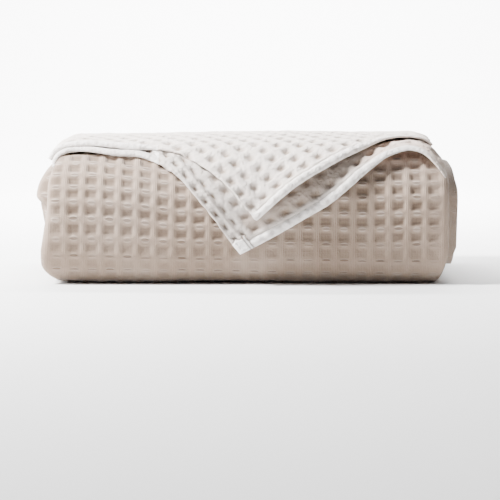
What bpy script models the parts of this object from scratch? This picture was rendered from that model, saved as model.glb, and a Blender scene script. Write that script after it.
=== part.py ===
"""Waffle-weave cotton blanket, folded into a pack, with two of its corners turned over the front.

Metres, +Z up, the rounded front fold towards -Y. The origin is the middle of the pack's underside.

The blanket is one cloth. It is folded in half twice along its length, which makes a strip of four
plies, and the strip is folded in half three times across, which makes eight levels. The mid-surface
of the cloth is modelled as one sheet: the section of the four-ply strip is carried along the route
of the three cross folds. At the open end of the top level two of the plies turn back over the top
of the pack and hang over its front as two corners, one on the other. A Solidify modifier then gives
the sheet the thickness of the cloth.
"""

import math
from collections import namedtuple

import bmesh
import bpy

# Cloth
CLOTH_THICK = 0.0026
PLY_GAP = 0.0012
PLY_PITCH = CLOTH_THICK + PLY_GAP
PLIES = 4
CLOTH_COLOUR = (0.56, 0.49, 0.43, 1.0)
CLOTH_ROUGHNESS = 0.9

# Pack, before it settles
PACK_DEPTH = 0.280
LEVELS = 8
LEVEL_PITCH = PLIES * PLY_PITCH
HALF_LEVEL = LEVEL_PITCH / 2
FRONT_TOP_RADIUS = 0.045
FRONT_BOTTOM_RADIUS = 0.032
TIGHTEST_RADIUS = 0.0082

# Lengthwise folds, at the two ends of the strip
WIDE_FOLD = 1.5 * PLY_PITCH
NARROW_FOLD = 0.5 * PLY_PITCH
LOWER_HEM_BACK = 0.004
UPPER_HEM_BACK = 0.007

# How the pack settles
DOME_START = 0.035
DOME_LENGTH = 0.105
DOME_DROP = 0.016
DOME_FOOT = 0.020
DOME_HEAD = 0.122
SIDE_TILT = 0.13

# The corners hang forward of the pack, so the middle of the whole lies forward of the pack's own
MIDDLE_Y = -0.0066

# Mesh steps
RUN_STATIONS = (0.075, 0.035, -0.035, -0.065)
SHORTEST_STEP = 0.004
STRAIGHT_STEPS = 3
CORNER_TURN_STEPS = 5
CORNER_FRONT_STEPS = 12

# One row for each run of the strip, in the order in which the cloth passes through the pack.
# level: height in the pack, from 0 at the bottom; left and right: how far its ends reach from the
# middle; turn: the fold that ends the run.
Run = namedtuple("Run", "level left right turn")
RUNS = (
    Run(7, 0.165, 0.156, "front"),
    Run(0, 0.168, 0.165, "back"),
    Run(3, 0.180, 0.181, "front"),
    Run(4, 0.178, 0.182, "back"),
    Run(5, 0.182, 0.181, "front"),
    Run(2, 0.180, 0.182, "back"),
    Run(1, 0.182, 0.179, "front"),
    Run(6, 0.181, 0.181, "open"),
)
# Where the two ends of the strip stop at the back
OPEN_END = 0.124
LAST_END = 0.131
BACK_TUCK = 0.003

# The folds at the front: how far the left end reaches high and low on the fold, the share of the
# fold's length where it changes, and how far the right end reaches
FrontFold = namedtuple("FrontFold", "left_high left_low changes right quarter_steps")
FRONT_FOLDS = {
    (0, 7): FrontFold(0.1735, 0.1795, 0.45, 0.1725, 4),
    (1, 6): FrontFold(0.1845, 0.1750, 0.27, 0.1825, 4),
    (2, 5): FrontFold(0.1820, 0.1770, 0.30, 0.1825, 3),
    (3, 4): FrontFold(0.1800, 0.1780, 0.40, 0.1820, 2),
}
CHANGE_LENGTH = 0.15
# How fast the ends go over from a run into a fold, and at the left into the run below
FOLD_EASE = 3.7
LOW_EASE = 5.5
# The folds at the back, and where the middle of their rounding is
BackFold = namedtuple("BackFold", "centre steps")
BACK_FOLDS = {(0, 3): BackFold(0.110, 8), (1, 2): BackFold(0.110, 4), (4, 5): BackFold(0.117, 4)}

# The two corners. A row for each column of the mesh: where it ends across the pack, how far the
# cloth comes forward there of the line where the top starts to round over, measured along the
# cloth, and how far its edge stands off what is under it.
Edge = namedtuple("Edge", "across forward lift")
LOWER_CORNER = (
    Edge(-0.179, 0.004, 0.000),
    Edge(-0.171, 0.004, 0.000),
    Edge(-0.163, 0.004, 0.001),
    Edge(-0.154, 0.003, 0.002),
    Edge(-0.120, 0.014, 0.001),
    Edge(-0.089, 0.020, 0.000),
    Edge(-0.073, 0.032, 0.000),
    Edge(-0.057, 0.049, 0.001),
    Edge(-0.044, 0.067, 0.001),
    Edge(-0.032, 0.084, 0.001),
    Edge(-0.020, 0.104, 0.001),
    Edge(-0.007, 0.125, 0.002),
    Edge(0.011, 0.114, 0.002),
    Edge(0.030, 0.102, 0.002),
    Edge(0.050, 0.088, 0.002),
    Edge(0.070, 0.074, 0.002),
    Edge(0.103, 0.046, 0.005),
    Edge(0.124, 0.034, 0.010),
    Edge(0.141, 0.031, 0.012),
    Edge(0.158, 0.038, 0.008),
    Edge(0.167, 0.049, 0.004),
    Edge(0.176, 0.062, 0.002),
)
UPPER_CORNER = (
    Edge(-0.180, 0.000, 0.000),
    Edge(-0.168, 0.000, 0.000),
    Edge(-0.155, 0.001, 0.001),
    Edge(-0.138, 0.004, 0.003),
    Edge(-0.106, 0.011, 0.001),
    Edge(-0.075, 0.015, 0.000),
    Edge(-0.056, 0.025, 0.001),
    Edge(-0.022, 0.058, 0.002),
    Edge(0.007, 0.101, 0.003),
    Edge(0.035, 0.076, 0.006),
    Edge(0.065, 0.051, 0.006),
    Edge(0.095, 0.031, 0.003),
    Edge(0.118, 0.019, 0.002),
    Edge(0.136, 0.014, 0.001),
    Edge(0.149, 0.013, 0.001),
    Edge(0.162, 0.013, 0.000),
)
CORNER_PITCH = CLOTH_THICK + 0.0018
LIFT_LENGTH = 0.055

# How far out of the top level's middle the corners lie
LOWER_OUT = WIDE_FOLD + CORNER_PITCH
UPPER_OUT = LOWER_OUT + CORNER_PITCH

# Where the corners bend down over the ends of the pack, and how far the right-hand place moves out
# towards the front, where the fold below it is wider
Shoulder = namedtuple("Shoulder", "start radius spread")
LEFT_SHOULDER = Shoulder(0.158, 0.012, 0.0)
RIGHT_SHOULDER = Shoulder(0.150, 0.018, 0.0155)
SPREAD_LENGTH = 0.055

Station = namedtuple("Station", "y z out_y out_z left right")


def clear_scene():
    """Removes whatever the scene holds."""
    for old in list(bpy.data.objects):
        bpy.data.objects.remove(old, do_unlink=True)


def cotton():
    """The undyed-looking, warm grey cotton."""
    material = bpy.data.materials.new("waffle_cotton")
    material.use_nodes = True
    shader = material.node_tree.nodes["Principled BSDF"]
    shader.inputs["Base Color"].default_value = CLOTH_COLOUR
    shader.inputs["Roughness"].default_value = CLOTH_ROUGHNESS
    shader.inputs["Metallic"].default_value = 0.0
    return material


def between(a, b, share):
    """The value a given share of the way from a to b."""
    return a + (b - a) * share


def smooth(share):
    """0 to 1 with level ends, for a share held between 0 and 1."""
    share = min(max(share, 0.0), 1.0)
    return share * share * (3 - 2 * share)


def level_height(level):
    """The height of the middle of a level."""
    return (level + 0.5) * LEVEL_PITCH


# The route of the strip through the pack, seen from its right-hand end


def front_fold(low, high):
    """(foremost y, top radius, bottom radius) of the fold that joins two levels at the front."""
    foremost = -PACK_DEPTH / 2 + HALF_LEVEL + low * LEVEL_PITCH
    widest = (level_height(high) - level_height(low)) / 2
    inset = HALF_LEVEL + low * LEVEL_PITCH
    top = min(max(FRONT_TOP_RADIUS - inset, TIGHTEST_RADIUS), widest)
    bottom = min(max(FRONT_BOTTOM_RADIUS - inset, TIGHTEST_RADIUS), widest)
    return foremost, top, bottom


def arc(centre_y, centre_z, radius, start, end, steps):
    """Points with their outward directions along an arc, angles in degrees from +Y towards +Z."""
    points = []
    for step in range(steps + 1):
        angle = math.radians(between(start, end, step / steps))
        out_y, out_z = math.cos(angle), math.sin(angle)
        points.append((centre_y + radius * out_y, centre_z + radius * out_z, out_y, out_z))
    return points


def front_turn(low, high):
    """The fold at the front, from the high level down to the low one."""
    foremost, top, bottom = front_fold(low, high)
    steps = FRONT_FOLDS[(low, high)].quarter_steps
    upper = arc(foremost + top, level_height(high) - top, top, 90, 180, steps)
    lower = arc(foremost + bottom, level_height(low) + bottom, bottom, 180, 270, steps)
    joined = top + bottom > level_height(high) - level_height(low) - 1e-6
    return upper + (lower[1:] if joined else lower)


def back_turn(low, high):
    """The fold at the back, from the low level up to the high one."""
    radius = (level_height(high) - level_height(low)) / 2
    fold = BACK_FOLDS[(low, high)]
    return arc(fold.centre, level_height(low) + radius, radius, -90, 90, fold.steps)


def turn_reach(run, following, share):
    """(left, right) reach of the strip a share of the way through the fold between two runs."""
    left = between(run.left, following.left, share)
    right = between(run.right, following.right, share)
    if run.turn == "back":
        return left, right
    low, high = sorted((run.level, following.level))
    fold = FRONT_FOLDS[(low, high)]
    down = share if run.level == high else 1 - share
    on_left = smooth(min(FOLD_EASE * down, LOW_EASE * (1 - down)))
    on_right = smooth(FOLD_EASE * min(down, 1 - down))
    changed = smooth((down - fold.changes) / CHANGE_LENGTH)
    fold_left = between(fold.left_high, fold.left_low, changed)
    return between(left, fold_left, on_left), between(right, fold.right, on_right)


def turn_stations(run, following):
    """Stations of the fold between two runs, in the order in which the cloth passes."""
    low, high = sorted((run.level, following.level))
    points = front_turn(low, high) if run.turn == "front" else back_turn(low, high)
    from_first_point = run.level == (high if run.turn == "front" else low)
    side = 1 if from_first_point else -1
    if not from_first_point:
        points.reverse()
    gone = [0.0]
    for near, far in zip(points, points[1:]):
        gone.append(gone[-1] + math.dist(near[:2], far[:2]))
    stations = []
    for length, (y, z, out_y, out_z) in zip(gone, points):
        left, right = turn_reach(run, following, length / gone[-1])
        stations.append(Station(y, z, out_y * side, out_z * side, left, right))
    return stations


def strip_route():
    """Stations from the open end of the top level to the end of the strip, one level down.

    The outward side is the one that faces out at the front of the outermost fold, so it faces in
    where a fold bends the other way.
    """
    stations = [Station(OPEN_END, level_height(RUNS[0].level), 0, 1, RUNS[0].left, RUNS[0].right)]
    for run, following in zip(RUNS, [*RUNS[1:], None]):
        onward = 1 if run.turn == "back" or following is None else -1
        turn = turn_stations(run, following) if following else []
        end = turn[0].y if turn else LAST_END
        for y in sorted(RUN_STATIONS, reverse=onward < 0):
            if (y - stations[-1].y) * onward > SHORTEST_STEP < (end - y) * onward:
                height = level_height(run.level)
                stations.append(Station(y, height, 0, -onward, run.left, run.right))
        stations += turn
    last = RUNS[-1]
    stations.append(Station(LAST_END, level_height(last.level), 0, -1, last.left, last.right))
    return stations


# The section of the strip, across the pack


def fold_points(centre, radius, start, end, steps):
    """Points (across, out) of a lengthwise fold, without its two ends."""
    points = []
    for step in range(1, steps):
        angle = math.radians(between(start, end, step / steps))
        points.append((centre[0] + radius * math.cos(angle), centre[1] + radius * math.sin(angle)))
    return points


def straight(start, end, out):
    """Points (across, out) of one flat ply."""
    return [(between(start, end, step / STRAIGHT_STEPS), out) for step in range(STRAIGHT_STEPS + 1)]


def strip_section(left, right):
    """Points (across, out) of the four plies, from the hem of the innermost ply.

    The plies are nested: the two outer ones are joined by the wide fold at the left end and the
    two middle ones by the narrow fold inside it. The two outermost are joined at the right end.
    """
    at_left = -left + WIDE_FOLD
    at_right = right - NARROW_FOLD
    lowest, low, high, highest = (PLY_PITCH * (ply - 1.5) for ply in range(PLIES))
    return (
        straight(right - LOWER_HEM_BACK, at_left, lowest)
        + fold_points((at_left, 0), WIDE_FOLD, 270, 90, 6)
        + straight(at_left, at_right, highest)
        + fold_points((at_right, (high + highest) / 2), NARROW_FOLD, 90, -90, 3)
        + straight(at_right, at_left, high)
        + fold_points((at_left, 0), NARROW_FOLD, 90, 270, 3)
        + straight(at_left, right - UPPER_HEM_BACK, low)
    )


# The numbers of the points of the two plies that go on into the corners
HIGHEST_START = STRAIGHT_STEPS + 1 + 5
HIGH_START = HIGHEST_START + STRAIGHT_STEPS + 1 + 2


def settle(x, y, z):
    """The place of a point once the pack has settled, its underside at height 0.

    The top sinks towards the front and the back, less and less further down, and the left end is a
    little lower than the right one.
    """
    past = (abs(y) - DOME_START) / DOME_LENGTH
    drop = DOME_DROP * min(max(past, 0.0), 1.0) ** 1.6
    depth = min(max((z - DOME_FOOT) / (DOME_HEAD - DOME_FOOT), 0.0), 1.2)
    lowest_ply = (CLOTH_THICK + PLY_GAP) / 2
    height = (z - lowest_ply - drop * depth) * (1 + SIDE_TILT * x)
    return x, y - MIDDLE_Y, height + CLOTH_THICK / 2


# The two corners turned over the top and the front


def over_the_front(along, out):
    """(y, z) of a point that far forward of the rounding and that far out of the top level."""
    foremost, radius, _ = front_fold(0, LEVELS - 1)
    height = level_height(LEVELS - 1)
    start = foremost + radius
    if along <= 0:
        return start - along, height + out
    angle = along / (radius + out)
    if angle < math.pi / 2:
        reach = radius + out
        return start - reach * math.sin(angle), height - radius + reach * math.cos(angle)
    down = along - (radius + out) * math.pi / 2
    return foremost - out, height - radius - down


def edge_at(edges, across):
    """(forward, lift) of a corner's edge at a place across the pack."""
    across = min(max(across, edges[0].across), edges[-1].across)
    for near, far in zip(edges, edges[1:]):
        if across <= far.across:
            share = (across - near.across) / (far.across - near.across)
            break
    return between(near.forward, far.forward, share), between(near.lift, far.lift, share)


def stand_off(edges, across, along):
    """How far a corner stands off what is under it, from nothing to its edge's lift."""
    forward, lift = edge_at(edges, across)
    return lift * smooth((along - forward + LIFT_LENGTH) / LIFT_LENGTH)


def corner_point(across, along, out):
    """A point of a corner, which bends down over the ends of the pack."""
    shoulder = LEFT_SHOULDER if across < 0 else RIGHT_SHOULDER
    start = shoulder.start + shoulder.spread * smooth(along / SPREAD_LENGTH)
    radius = shoulder.radius + max(out - LOWER_OUT, 0.0)
    angle = max(abs(across) - start, 0.0) / radius
    x = min(abs(across), start) + radius * math.sin(angle)
    lowered = radius * (1 - math.cos(angle))
    return math.copysign(x, across), *over_the_front(along, out - lowered)


def corner_rows(start_row, edges, start_out, rest_out, under=()):
    """Rows of points (x, y, z) of one corner, from the back of the top level to its edge.

    under holds the edges of the corners below this one, which lift it too.
    """
    foremost, radius, _ = front_fold(0, LEVELS - 1)
    crest = foremost + radius
    columns = len(edges) - 1
    backs = [between(start_row[0], start_row[-1], column / columns) for column in range(len(edges))]
    turn_radius = (rest_out - start_out) / 2
    rows = [[(x, *over_the_front(crest - OPEN_END - BACK_TUCK, start_out)) for x in backs]]
    for step in range(1, CORNER_TURN_STEPS):
        angle = math.pi * step / CORNER_TURN_STEPS
        y = OPEN_END + BACK_TUCK + turn_radius * math.sin(angle)
        out = start_out + turn_radius * (1 - math.cos(angle))
        rows.append([corner_point(x, crest - y, out) for x in backs])
    tops = [crest - y for y in (OPEN_END + BACK_TUCK, *RUN_STATIONS)]
    for along in tops:
        share = smooth((along - tops[0]) / -tops[0])
        across = [between(back, edge.across, share) for back, edge in zip(backs, edges)]
        outs = [rest_out + sum(stand_off(e, x, along) for e in (edges, *under)) for x in across]
        rows.append([corner_point(x, along, out) for x, out in zip(across, outs)])
    for step in range(1, CORNER_FRONT_STEPS + 1):
        row = []
        for edge in edges:
            along = between(tops[-1], edge.forward, step / CORNER_FRONT_STEPS)
            out = rest_out + sum(stand_off(e, edge.across, along) for e in (edges, *under))
            row.append(corner_point(edge.across, along, out))
        rows.append(row)
    return rows


# The mesh


def add_row(bm, points):
    """New vertices for a row of points, settled."""
    return [bm.verts.new(settle(*point)) for point in points]


def bridge(bm, near, far, per_near=1):
    """Faces between two rows of vertices, the far one with per_near times as many steps."""
    for step in range(len(near) - 1):
        across = far[step * per_near : (step + 1) * per_near + 1]
        bm.faces.new([near[step + 1], near[step], *across])


def add_strip(bm):
    """The folded strip. Returns its first row of vertices, at the open end of the top level."""
    rows = []
    for station in strip_route():
        points = [
            (x, station.y + out * station.out_y, station.z + out * station.out_z)
            for x, out in strip_section(station.left, station.right)
        ]
        rows.append(add_row(bm, points))
    for near, far in zip(rows, rows[1:]):
        bridge(bm, near, far)
    return rows[0]


def add_corner(bm, start, edges, start_out, rest_out, under=()):
    """One corner, grown from the end of a ply."""
    if start[0].co.x > start[-1].co.x:
        start = start[::-1]
    rows = corner_rows([vertex.co.x for vertex in start], edges, start_out, rest_out, under)
    near, per_near = start, (len(edges) - 1) // STRAIGHT_STEPS
    for points in rows:
        far = add_row(bm, points)
        bridge(bm, near, far, per_near)
        near, per_near = far, 1


def blanket():
    """The whole blanket as one solid."""
    bm = bmesh.new()
    first = add_strip(bm)
    highest = first[HIGHEST_START : HIGHEST_START + STRAIGHT_STEPS + 1]
    high = first[HIGH_START : HIGH_START + STRAIGHT_STEPS + 1]
    add_corner(bm, highest, LOWER_CORNER, WIDE_FOLD, LOWER_OUT)
    add_corner(bm, high, UPPER_CORNER, NARROW_FOLD, UPPER_OUT, under=(LOWER_CORNER,))
    bmesh.ops.recalc_face_normals(bm, faces=bm.faces)
    mesh = bpy.data.meshes.new("blanket")
    bm.to_mesh(mesh)
    bm.free()
    mesh.materials.append(cotton())
    mesh.shade_smooth()
    piece = bpy.data.objects.new("blanket", mesh)
    bpy.context.scene.collection.objects.link(piece)
    thickness = piece.modifiers.new("cloth_thickness", "SOLIDIFY")
    thickness.thickness = CLOTH_THICK
    thickness.offset = 0.0
    thickness.use_even_offset = True
    return piece


clear_scene()
blanket()
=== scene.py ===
"""The looks of a folded waffle-weave cotton blanket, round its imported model.

The blanket is one cloth. Folded twice along its length it is a strip of four plies, and folded
three times across it is a pack of eight levels. Two of its corners are turned over the top and hang
down the front. The cloth is modelled as thin sheets with the weave's relief in the mesh, on the
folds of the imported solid, and its threads and stitches are in the material.
"""

from __future__ import annotations

import logging
import math
from dataclasses import dataclass, field
from enum import Enum
from typing import Sequence

import bmesh
import bpy
import numpy as np
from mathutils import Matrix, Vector


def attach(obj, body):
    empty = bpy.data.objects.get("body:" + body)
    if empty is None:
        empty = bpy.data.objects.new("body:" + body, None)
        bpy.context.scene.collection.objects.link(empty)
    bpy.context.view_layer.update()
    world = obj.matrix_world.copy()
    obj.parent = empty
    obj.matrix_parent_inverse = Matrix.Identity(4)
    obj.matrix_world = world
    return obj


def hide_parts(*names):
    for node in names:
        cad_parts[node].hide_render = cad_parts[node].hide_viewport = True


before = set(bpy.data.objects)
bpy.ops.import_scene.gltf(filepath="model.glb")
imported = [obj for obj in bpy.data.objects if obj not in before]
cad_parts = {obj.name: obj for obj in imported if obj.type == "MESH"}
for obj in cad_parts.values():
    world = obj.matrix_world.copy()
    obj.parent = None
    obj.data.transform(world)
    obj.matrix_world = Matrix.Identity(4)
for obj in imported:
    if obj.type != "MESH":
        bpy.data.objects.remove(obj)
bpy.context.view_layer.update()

logging.basicConfig(level=logging.INFO, format="%(message)s")
log = logging.getLogger("blanket")

NODE = "blanket"
BODY = "root"
FLOOR_CLEARANCE = 0.0003

# Where a ridge of the weave lies on the outermost ply, across the pack and forward of the line
# where the top rounds over
WEAVE_ACROSS = -0.0029
WEAVE_ALONG = 0.0044

# The cloth's sizes: the width of a ply, and the length of a corner that is turned over
PLY_WIDTH = 0.345
CORNER_LENGTH = 0.28

# How far the pack swells or sinks from place to place
SWELL = 0.0009


def between(
    a: float | np.ndarray, b: float | np.ndarray, share: float | np.ndarray
) -> float | np.ndarray:
    """The value a share of the way from one value to another.

    Args:
        a: The first value.
        b: The second.
        share: 0 for the first, 1 for the second.

    Returns:
        The value between them.
    """
    return a + (b - a) * share


def smooth(share: float | np.ndarray) -> np.ndarray:
    """0 to 1 with level ends, for a share that is first held between 0 and 1."""
    held = np.clip(share, 0.0, 1.0)
    return held * held * (3 - 2 * held)


def ripple(across: np.ndarray, along: np.ndarray, seed: float) -> np.ndarray:
    """A soft unevenness between -1 and 1, the same each run.

    Args:
        across: Places across, in metres, or a multiple of them for shorter waves.
        along: Places along, in the same way.
        seed: A number of its own for each unevenness, which turns its waves another way.

    Returns:
        The mean of five crossing waves, from 27 to 8 cm long.
    """
    waves, slowest, step = 5, 23.0, 13.0
    total = 0.0
    for number in range(waves):
        turn = seed + 2.4 * number
        wave = slowest + step * number
        place = across * math.cos(turn) + along * math.sin(turn)
        total = total + np.sin(wave * place + 1.7 * turn)
    return total / waves


def unevenness(across: np.ndarray, along: np.ndarray) -> np.ndarray:
    """How far the whole pack swells or sinks at a place, in metres."""
    return SWELL * ripple(across, along, seed=0.8)


# The cloth


@dataclass(frozen=True)
class Ridges:
    """The ridges of the weave one way, in shares of a cell.

    Attributes:
        top: Half the width of a ridge's rounded top.
        foot: Half the width of its foot, in the middle of the hollows beside it.
    """

    top: float
    foot: float

    def height(self, cells: np.ndarray) -> np.ndarray:
        """The height at a place in cells, with a ridge at each whole number, from 0 to 1."""
        away = np.abs(cells - np.round(cells))
        return 1.0 - smooth((away - self.top) / (self.foot - self.top))


@dataclass(frozen=True)
class Cloth:
    """The waffle weave and how thick it lies.

    Attributes:
        pitch: From one ridge to the next, both ways.
        relief: How far the ridges stand over the floors of the cells.
        thickness: Of the cloth without its relief.
        warp: The ridges that run along the strip.
        weft: The ridges that run across it.
        middle_height: The mean height of the weave, as a share of the relief.
        wander: How far the ridges wander from straight lines.
    """

    pitch: float = 0.0156
    relief: float = 0.0020
    thickness: float = 0.0020
    warp: Ridges = Ridges(0.07, 0.28)
    weft: Ridges = Ridges(0.09, 0.34)
    middle_height: float = 0.55
    wander: float = 0.0006

    def cells(self, across: np.ndarray, along: np.ndarray, seed: float) -> np.ndarray:
        """Places on the weave, its ridges wandering a little from straight lines.

        Args:
            across: Places across the cloth, with a ridge at 0.
            along: Places along it, in the same way.
            seed: A number of its own for each piece of cloth.

        Returns:
            The two places as one array, in metres.
        """
        by_across = across + self.wander * ripple(across, along, seed)
        by_along = along + 1.5 * self.wander * ripple(across, along, seed + 1.3)
        return np.stack([by_across, by_along], axis=-1)

    def height(self, places: np.ndarray) -> np.ndarray:
        """The height of the weave over the middle of its relief, in metres."""
        warp = self.warp.height(places[..., 0] / self.pitch)
        weft = self.weft.height(places[..., 1] / self.pitch)
        joined = 1.0 - (1.0 - warp) * (1.0 - weft)
        return self.relief * (joined - self.middle_height)


# The pack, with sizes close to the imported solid's


class Turn(Enum):
    """The fold that ends a run of the strip."""

    FRONT = "front"
    BACK = "back"
    OPEN = "open"


@dataclass(frozen=True)
class Run:
    """A level run of the strip, from one fold to the next.

    Attributes:
        level: Its number, counted from the bottom of the pack.
        left: How far its left end reaches.
        right: How far its right end reaches.
        turn: The fold that ends it.
    """

    level: int
    left: float
    right: float
    turn: Turn


@dataclass(frozen=True)
class FrontFold:
    """A fold at the front.

    Attributes:
        left_high: How far its left end reaches near the top.
        left_low: How far it reaches lower down.
        changes: The share of the fold's length where the one goes over into the other.
        right: How far its right end reaches.
    """

    left_high: float
    left_low: float
    changes: float
    right: float


@dataclass(frozen=True)
class Route:
    """The way of the strip through the pack, as arrays over its length.

    Attributes:
        length: Along the strip, 0 on the line where the top rounds over to the front.
        y: The place of its middle, front to back.
        z: The height of its middle.
        out_y: The y part of its outward direction.
        out_z: The z part of its outward direction.
        left: How far its left end reaches.
        right: How far its right end reaches.
        starts: Where each level and each turn starts.
    """

    length: np.ndarray
    y: np.ndarray
    z: np.ndarray
    out_y: np.ndarray
    out_z: np.ndarray
    left: np.ndarray
    right: np.ndarray
    starts: dict[str, float]

    def at(self, along: np.ndarray) -> list[np.ndarray]:
        """y, z, out_y, out_z, left and right at the given lengths."""
        table = (self.y, self.z, self.out_y, self.out_z, self.left, self.right)
        return [np.interp(along, self.length, column) for column in table]


@dataclass
class Pack:
    """The folded pack and how it settles.

    Attributes:
        depth: Of the pack, front to back, of which half lies before the middle.
        ply_pitch: From the middle of one ply to the next.
        plies: How many plies the strip has.
        levels: How many levels the pack has.
        front_top_radius: Of the strip's middle, where the top rounds over to the front.
        front_bottom_radius: Of the strip's middle, where the front rounds under.
        tightest_radius: Of an inner fold.
        open_end: How far back the top level ends.
        last_end: How far back the last level ends.
        lowest_surface: The height of the underside before the pack settles.
        dome_start: How far from the middle, front to back, the top starts to fall away.
        dome_length: Over what length it falls.
        dome_drop: How far.
        dome_power: How late it falls: 1 is even.
        dome_foot: The height from which the pack sinks.
        dome_head: The height where it sinks as far as the top.
        dome_most: How much further what lies over that may sink.
        side_tilt: By what share of its height the pack rises for each metre to the right.
        right_sink: How far its top sinks at the right end.
        sink_start: From where across it does.
        sink_length: Over what length it comes to that.
        middle_y: The middle of the settled pack, front to back, which is put at 0.
        corner_pitch: From the top level to the lower corner, and from that to the upper one.
        change_length: The share of a front fold over which its left end changes reach.
        fold_ease: How fast the ends' reach changes at the start and end of a front fold.
        low_ease: The same at the low end of a front fold's left end.
        level_steps: How many points there are along a level.
        runs: The levels in the strip's order.
        front_folds: The folds at the front, by their two levels.
        back_centres: How far back the centres of the folds at the back lie.
    """

    depth: float = 0.280
    ply_pitch: float = 0.0038
    plies: int = 4
    levels: int = 8
    front_top_radius: float = 0.045
    front_bottom_radius: float = 0.032
    tightest_radius: float = 0.0082
    open_end: float = 0.124
    last_end: float = 0.131
    lowest_surface: float = 0.0004
    dome_start: float = 0.035
    dome_length: float = 0.105
    dome_drop: float = 0.016
    dome_power: float = 1.6
    dome_foot: float = 0.020
    dome_head: float = 0.122
    dome_most: float = 1.2
    side_tilt: float = 0.13
    right_sink: float = 0.0025
    sink_start: float = 0.02
    sink_length: float = 0.11
    middle_y: float = -0.0066
    corner_pitch: float = 0.0044
    change_length: float = 0.15
    fold_ease: float = 3.7
    low_ease: float = 5.5
    level_steps: int = 60
    runs: tuple[Run, ...] = (
        Run(7, 0.1678, 0.1595, Turn.FRONT),
        Run(0, 0.168, 0.165, Turn.BACK),
        Run(3, 0.180, 0.181, Turn.FRONT),
        Run(4, 0.178, 0.182, Turn.BACK),
        Run(5, 0.183, 0.181, Turn.FRONT),
        Run(2, 0.180, 0.182, Turn.BACK),
        Run(1, 0.182, 0.179, Turn.FRONT),
        Run(6, 0.181, 0.181, Turn.OPEN),
    )
    front_folds: dict[tuple[int, int], FrontFold] = field(
        default_factory=lambda: {
            (0, 7): FrontFold(0.1735, 0.1795, 0.45, 0.1725),
            (1, 6): FrontFold(0.1845, 0.1750, 0.27, 0.1825),
            (2, 5): FrontFold(0.1820, 0.1770, 0.30, 0.1825),
            (3, 4): FrontFold(0.1800, 0.1780, 0.40, 0.1820),
        }
    )
    back_centres: dict[tuple[int, int], float] = field(
        default_factory=lambda: {(0, 3): 0.110, (1, 2): 0.110, (4, 5): 0.117}
    )

    @property
    def level_pitch(self) -> float:
        """From the middle of one level to the next."""
        return self.plies * self.ply_pitch

    @property
    def wide_fold(self) -> float:
        """The radius of the lengthwise fold that joins the outer plies."""
        return 1.5 * self.ply_pitch

    @property
    def narrow_fold(self) -> float:
        """The radius of the lengthwise folds that join neighbouring plies."""
        return 0.5 * self.ply_pitch

    @property
    def lower_corner_out(self) -> float:
        """How far out of the top level's middle the lower corner lies."""
        return self.wide_fold + self.corner_pitch

    @property
    def upper_corner_out(self) -> float:
        """How far out of the top level's middle the upper corner lies."""
        return self.lower_corner_out + self.corner_pitch

    def level_height(self, level: int) -> float:
        """The height of the middle of a level."""
        return (level + 0.5) * self.level_pitch

    def front_fold(self, low: int, high: int) -> tuple[float, float, float]:
        """(foremost y, top radius, bottom radius) of the fold joining two levels at the front."""
        inset = (low + 0.5) * self.level_pitch
        widest = (self.level_height(high) - self.level_height(low)) / 2
        top = min(max(self.front_top_radius - inset, self.tightest_radius), widest)
        bottom = min(max(self.front_bottom_radius - inset, self.tightest_radius), widest)
        return inset - self.depth / 2, top, bottom

    def crest(self) -> tuple[float, float, float]:
        """(y, z, radius) where the middle of the top level starts to round over."""
        foremost, radius, _ = self.front_fold(0, self.levels - 1)
        return foremost + radius, self.level_height(self.levels - 1), radius

    def settle(self, points: np.ndarray) -> np.ndarray:
        """The places of points once the pack has settled, its underside at height 0.

        Args:
            points: An array of x, y and z, as the pack was folded.

        Returns:
            An array of the same shape.
        """
        x, y, z = np.moveaxis(points, -1, 0)
        past = np.clip((np.abs(y) - self.dome_start) / self.dome_length, 0.0, 1.0)
        drop = self.dome_drop * past**self.dome_power
        depth = (z - self.dome_foot) / (self.dome_head - self.dome_foot)
        depth = np.clip(depth, 0.0, self.dome_most)
        half_ply = (self.ply_pitch - 2 * self.lowest_surface) / 2
        to_right = smooth((x - self.sink_start) / self.sink_length)
        drop = drop + self.right_sink * (1 - past) * to_right
        height = (z - self.lowest_surface - half_ply - drop * depth) * (1 + self.side_tilt * x)
        return np.stack([x, y - self.middle_y, height + half_ply], axis=-1)

    def turn_reach(self, run: Run, following: Run, share: np.ndarray) -> list[np.ndarray]:
        """How far the ends of the strip reach along the fold between two runs.

        Args:
            run: The run before the fold.
            following: The run after it.
            share: Places along the fold, from 0 to 1.

        Returns:
            The left end's reach and the right end's.
        """
        left = between(run.left, following.left, share)
        right = between(run.right, following.right, share)
        if run.turn is Turn.BACK:
            return [left, right]
        low, high = sorted((run.level, following.level))
        fold = self.front_folds[(low, high)]
        down = share if run.level == high else 1 - share
        on_left = smooth(np.minimum(self.fold_ease * down, self.low_ease * (1 - down)))
        on_right = smooth(self.fold_ease * np.minimum(share, 1 - share))
        changed = smooth((down - fold.changes) / self.change_length)
        fold_left = between(fold.left_high, fold.left_low, changed)
        return [between(left, fold_left, on_left), between(right, fold.right, on_right)]

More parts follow.
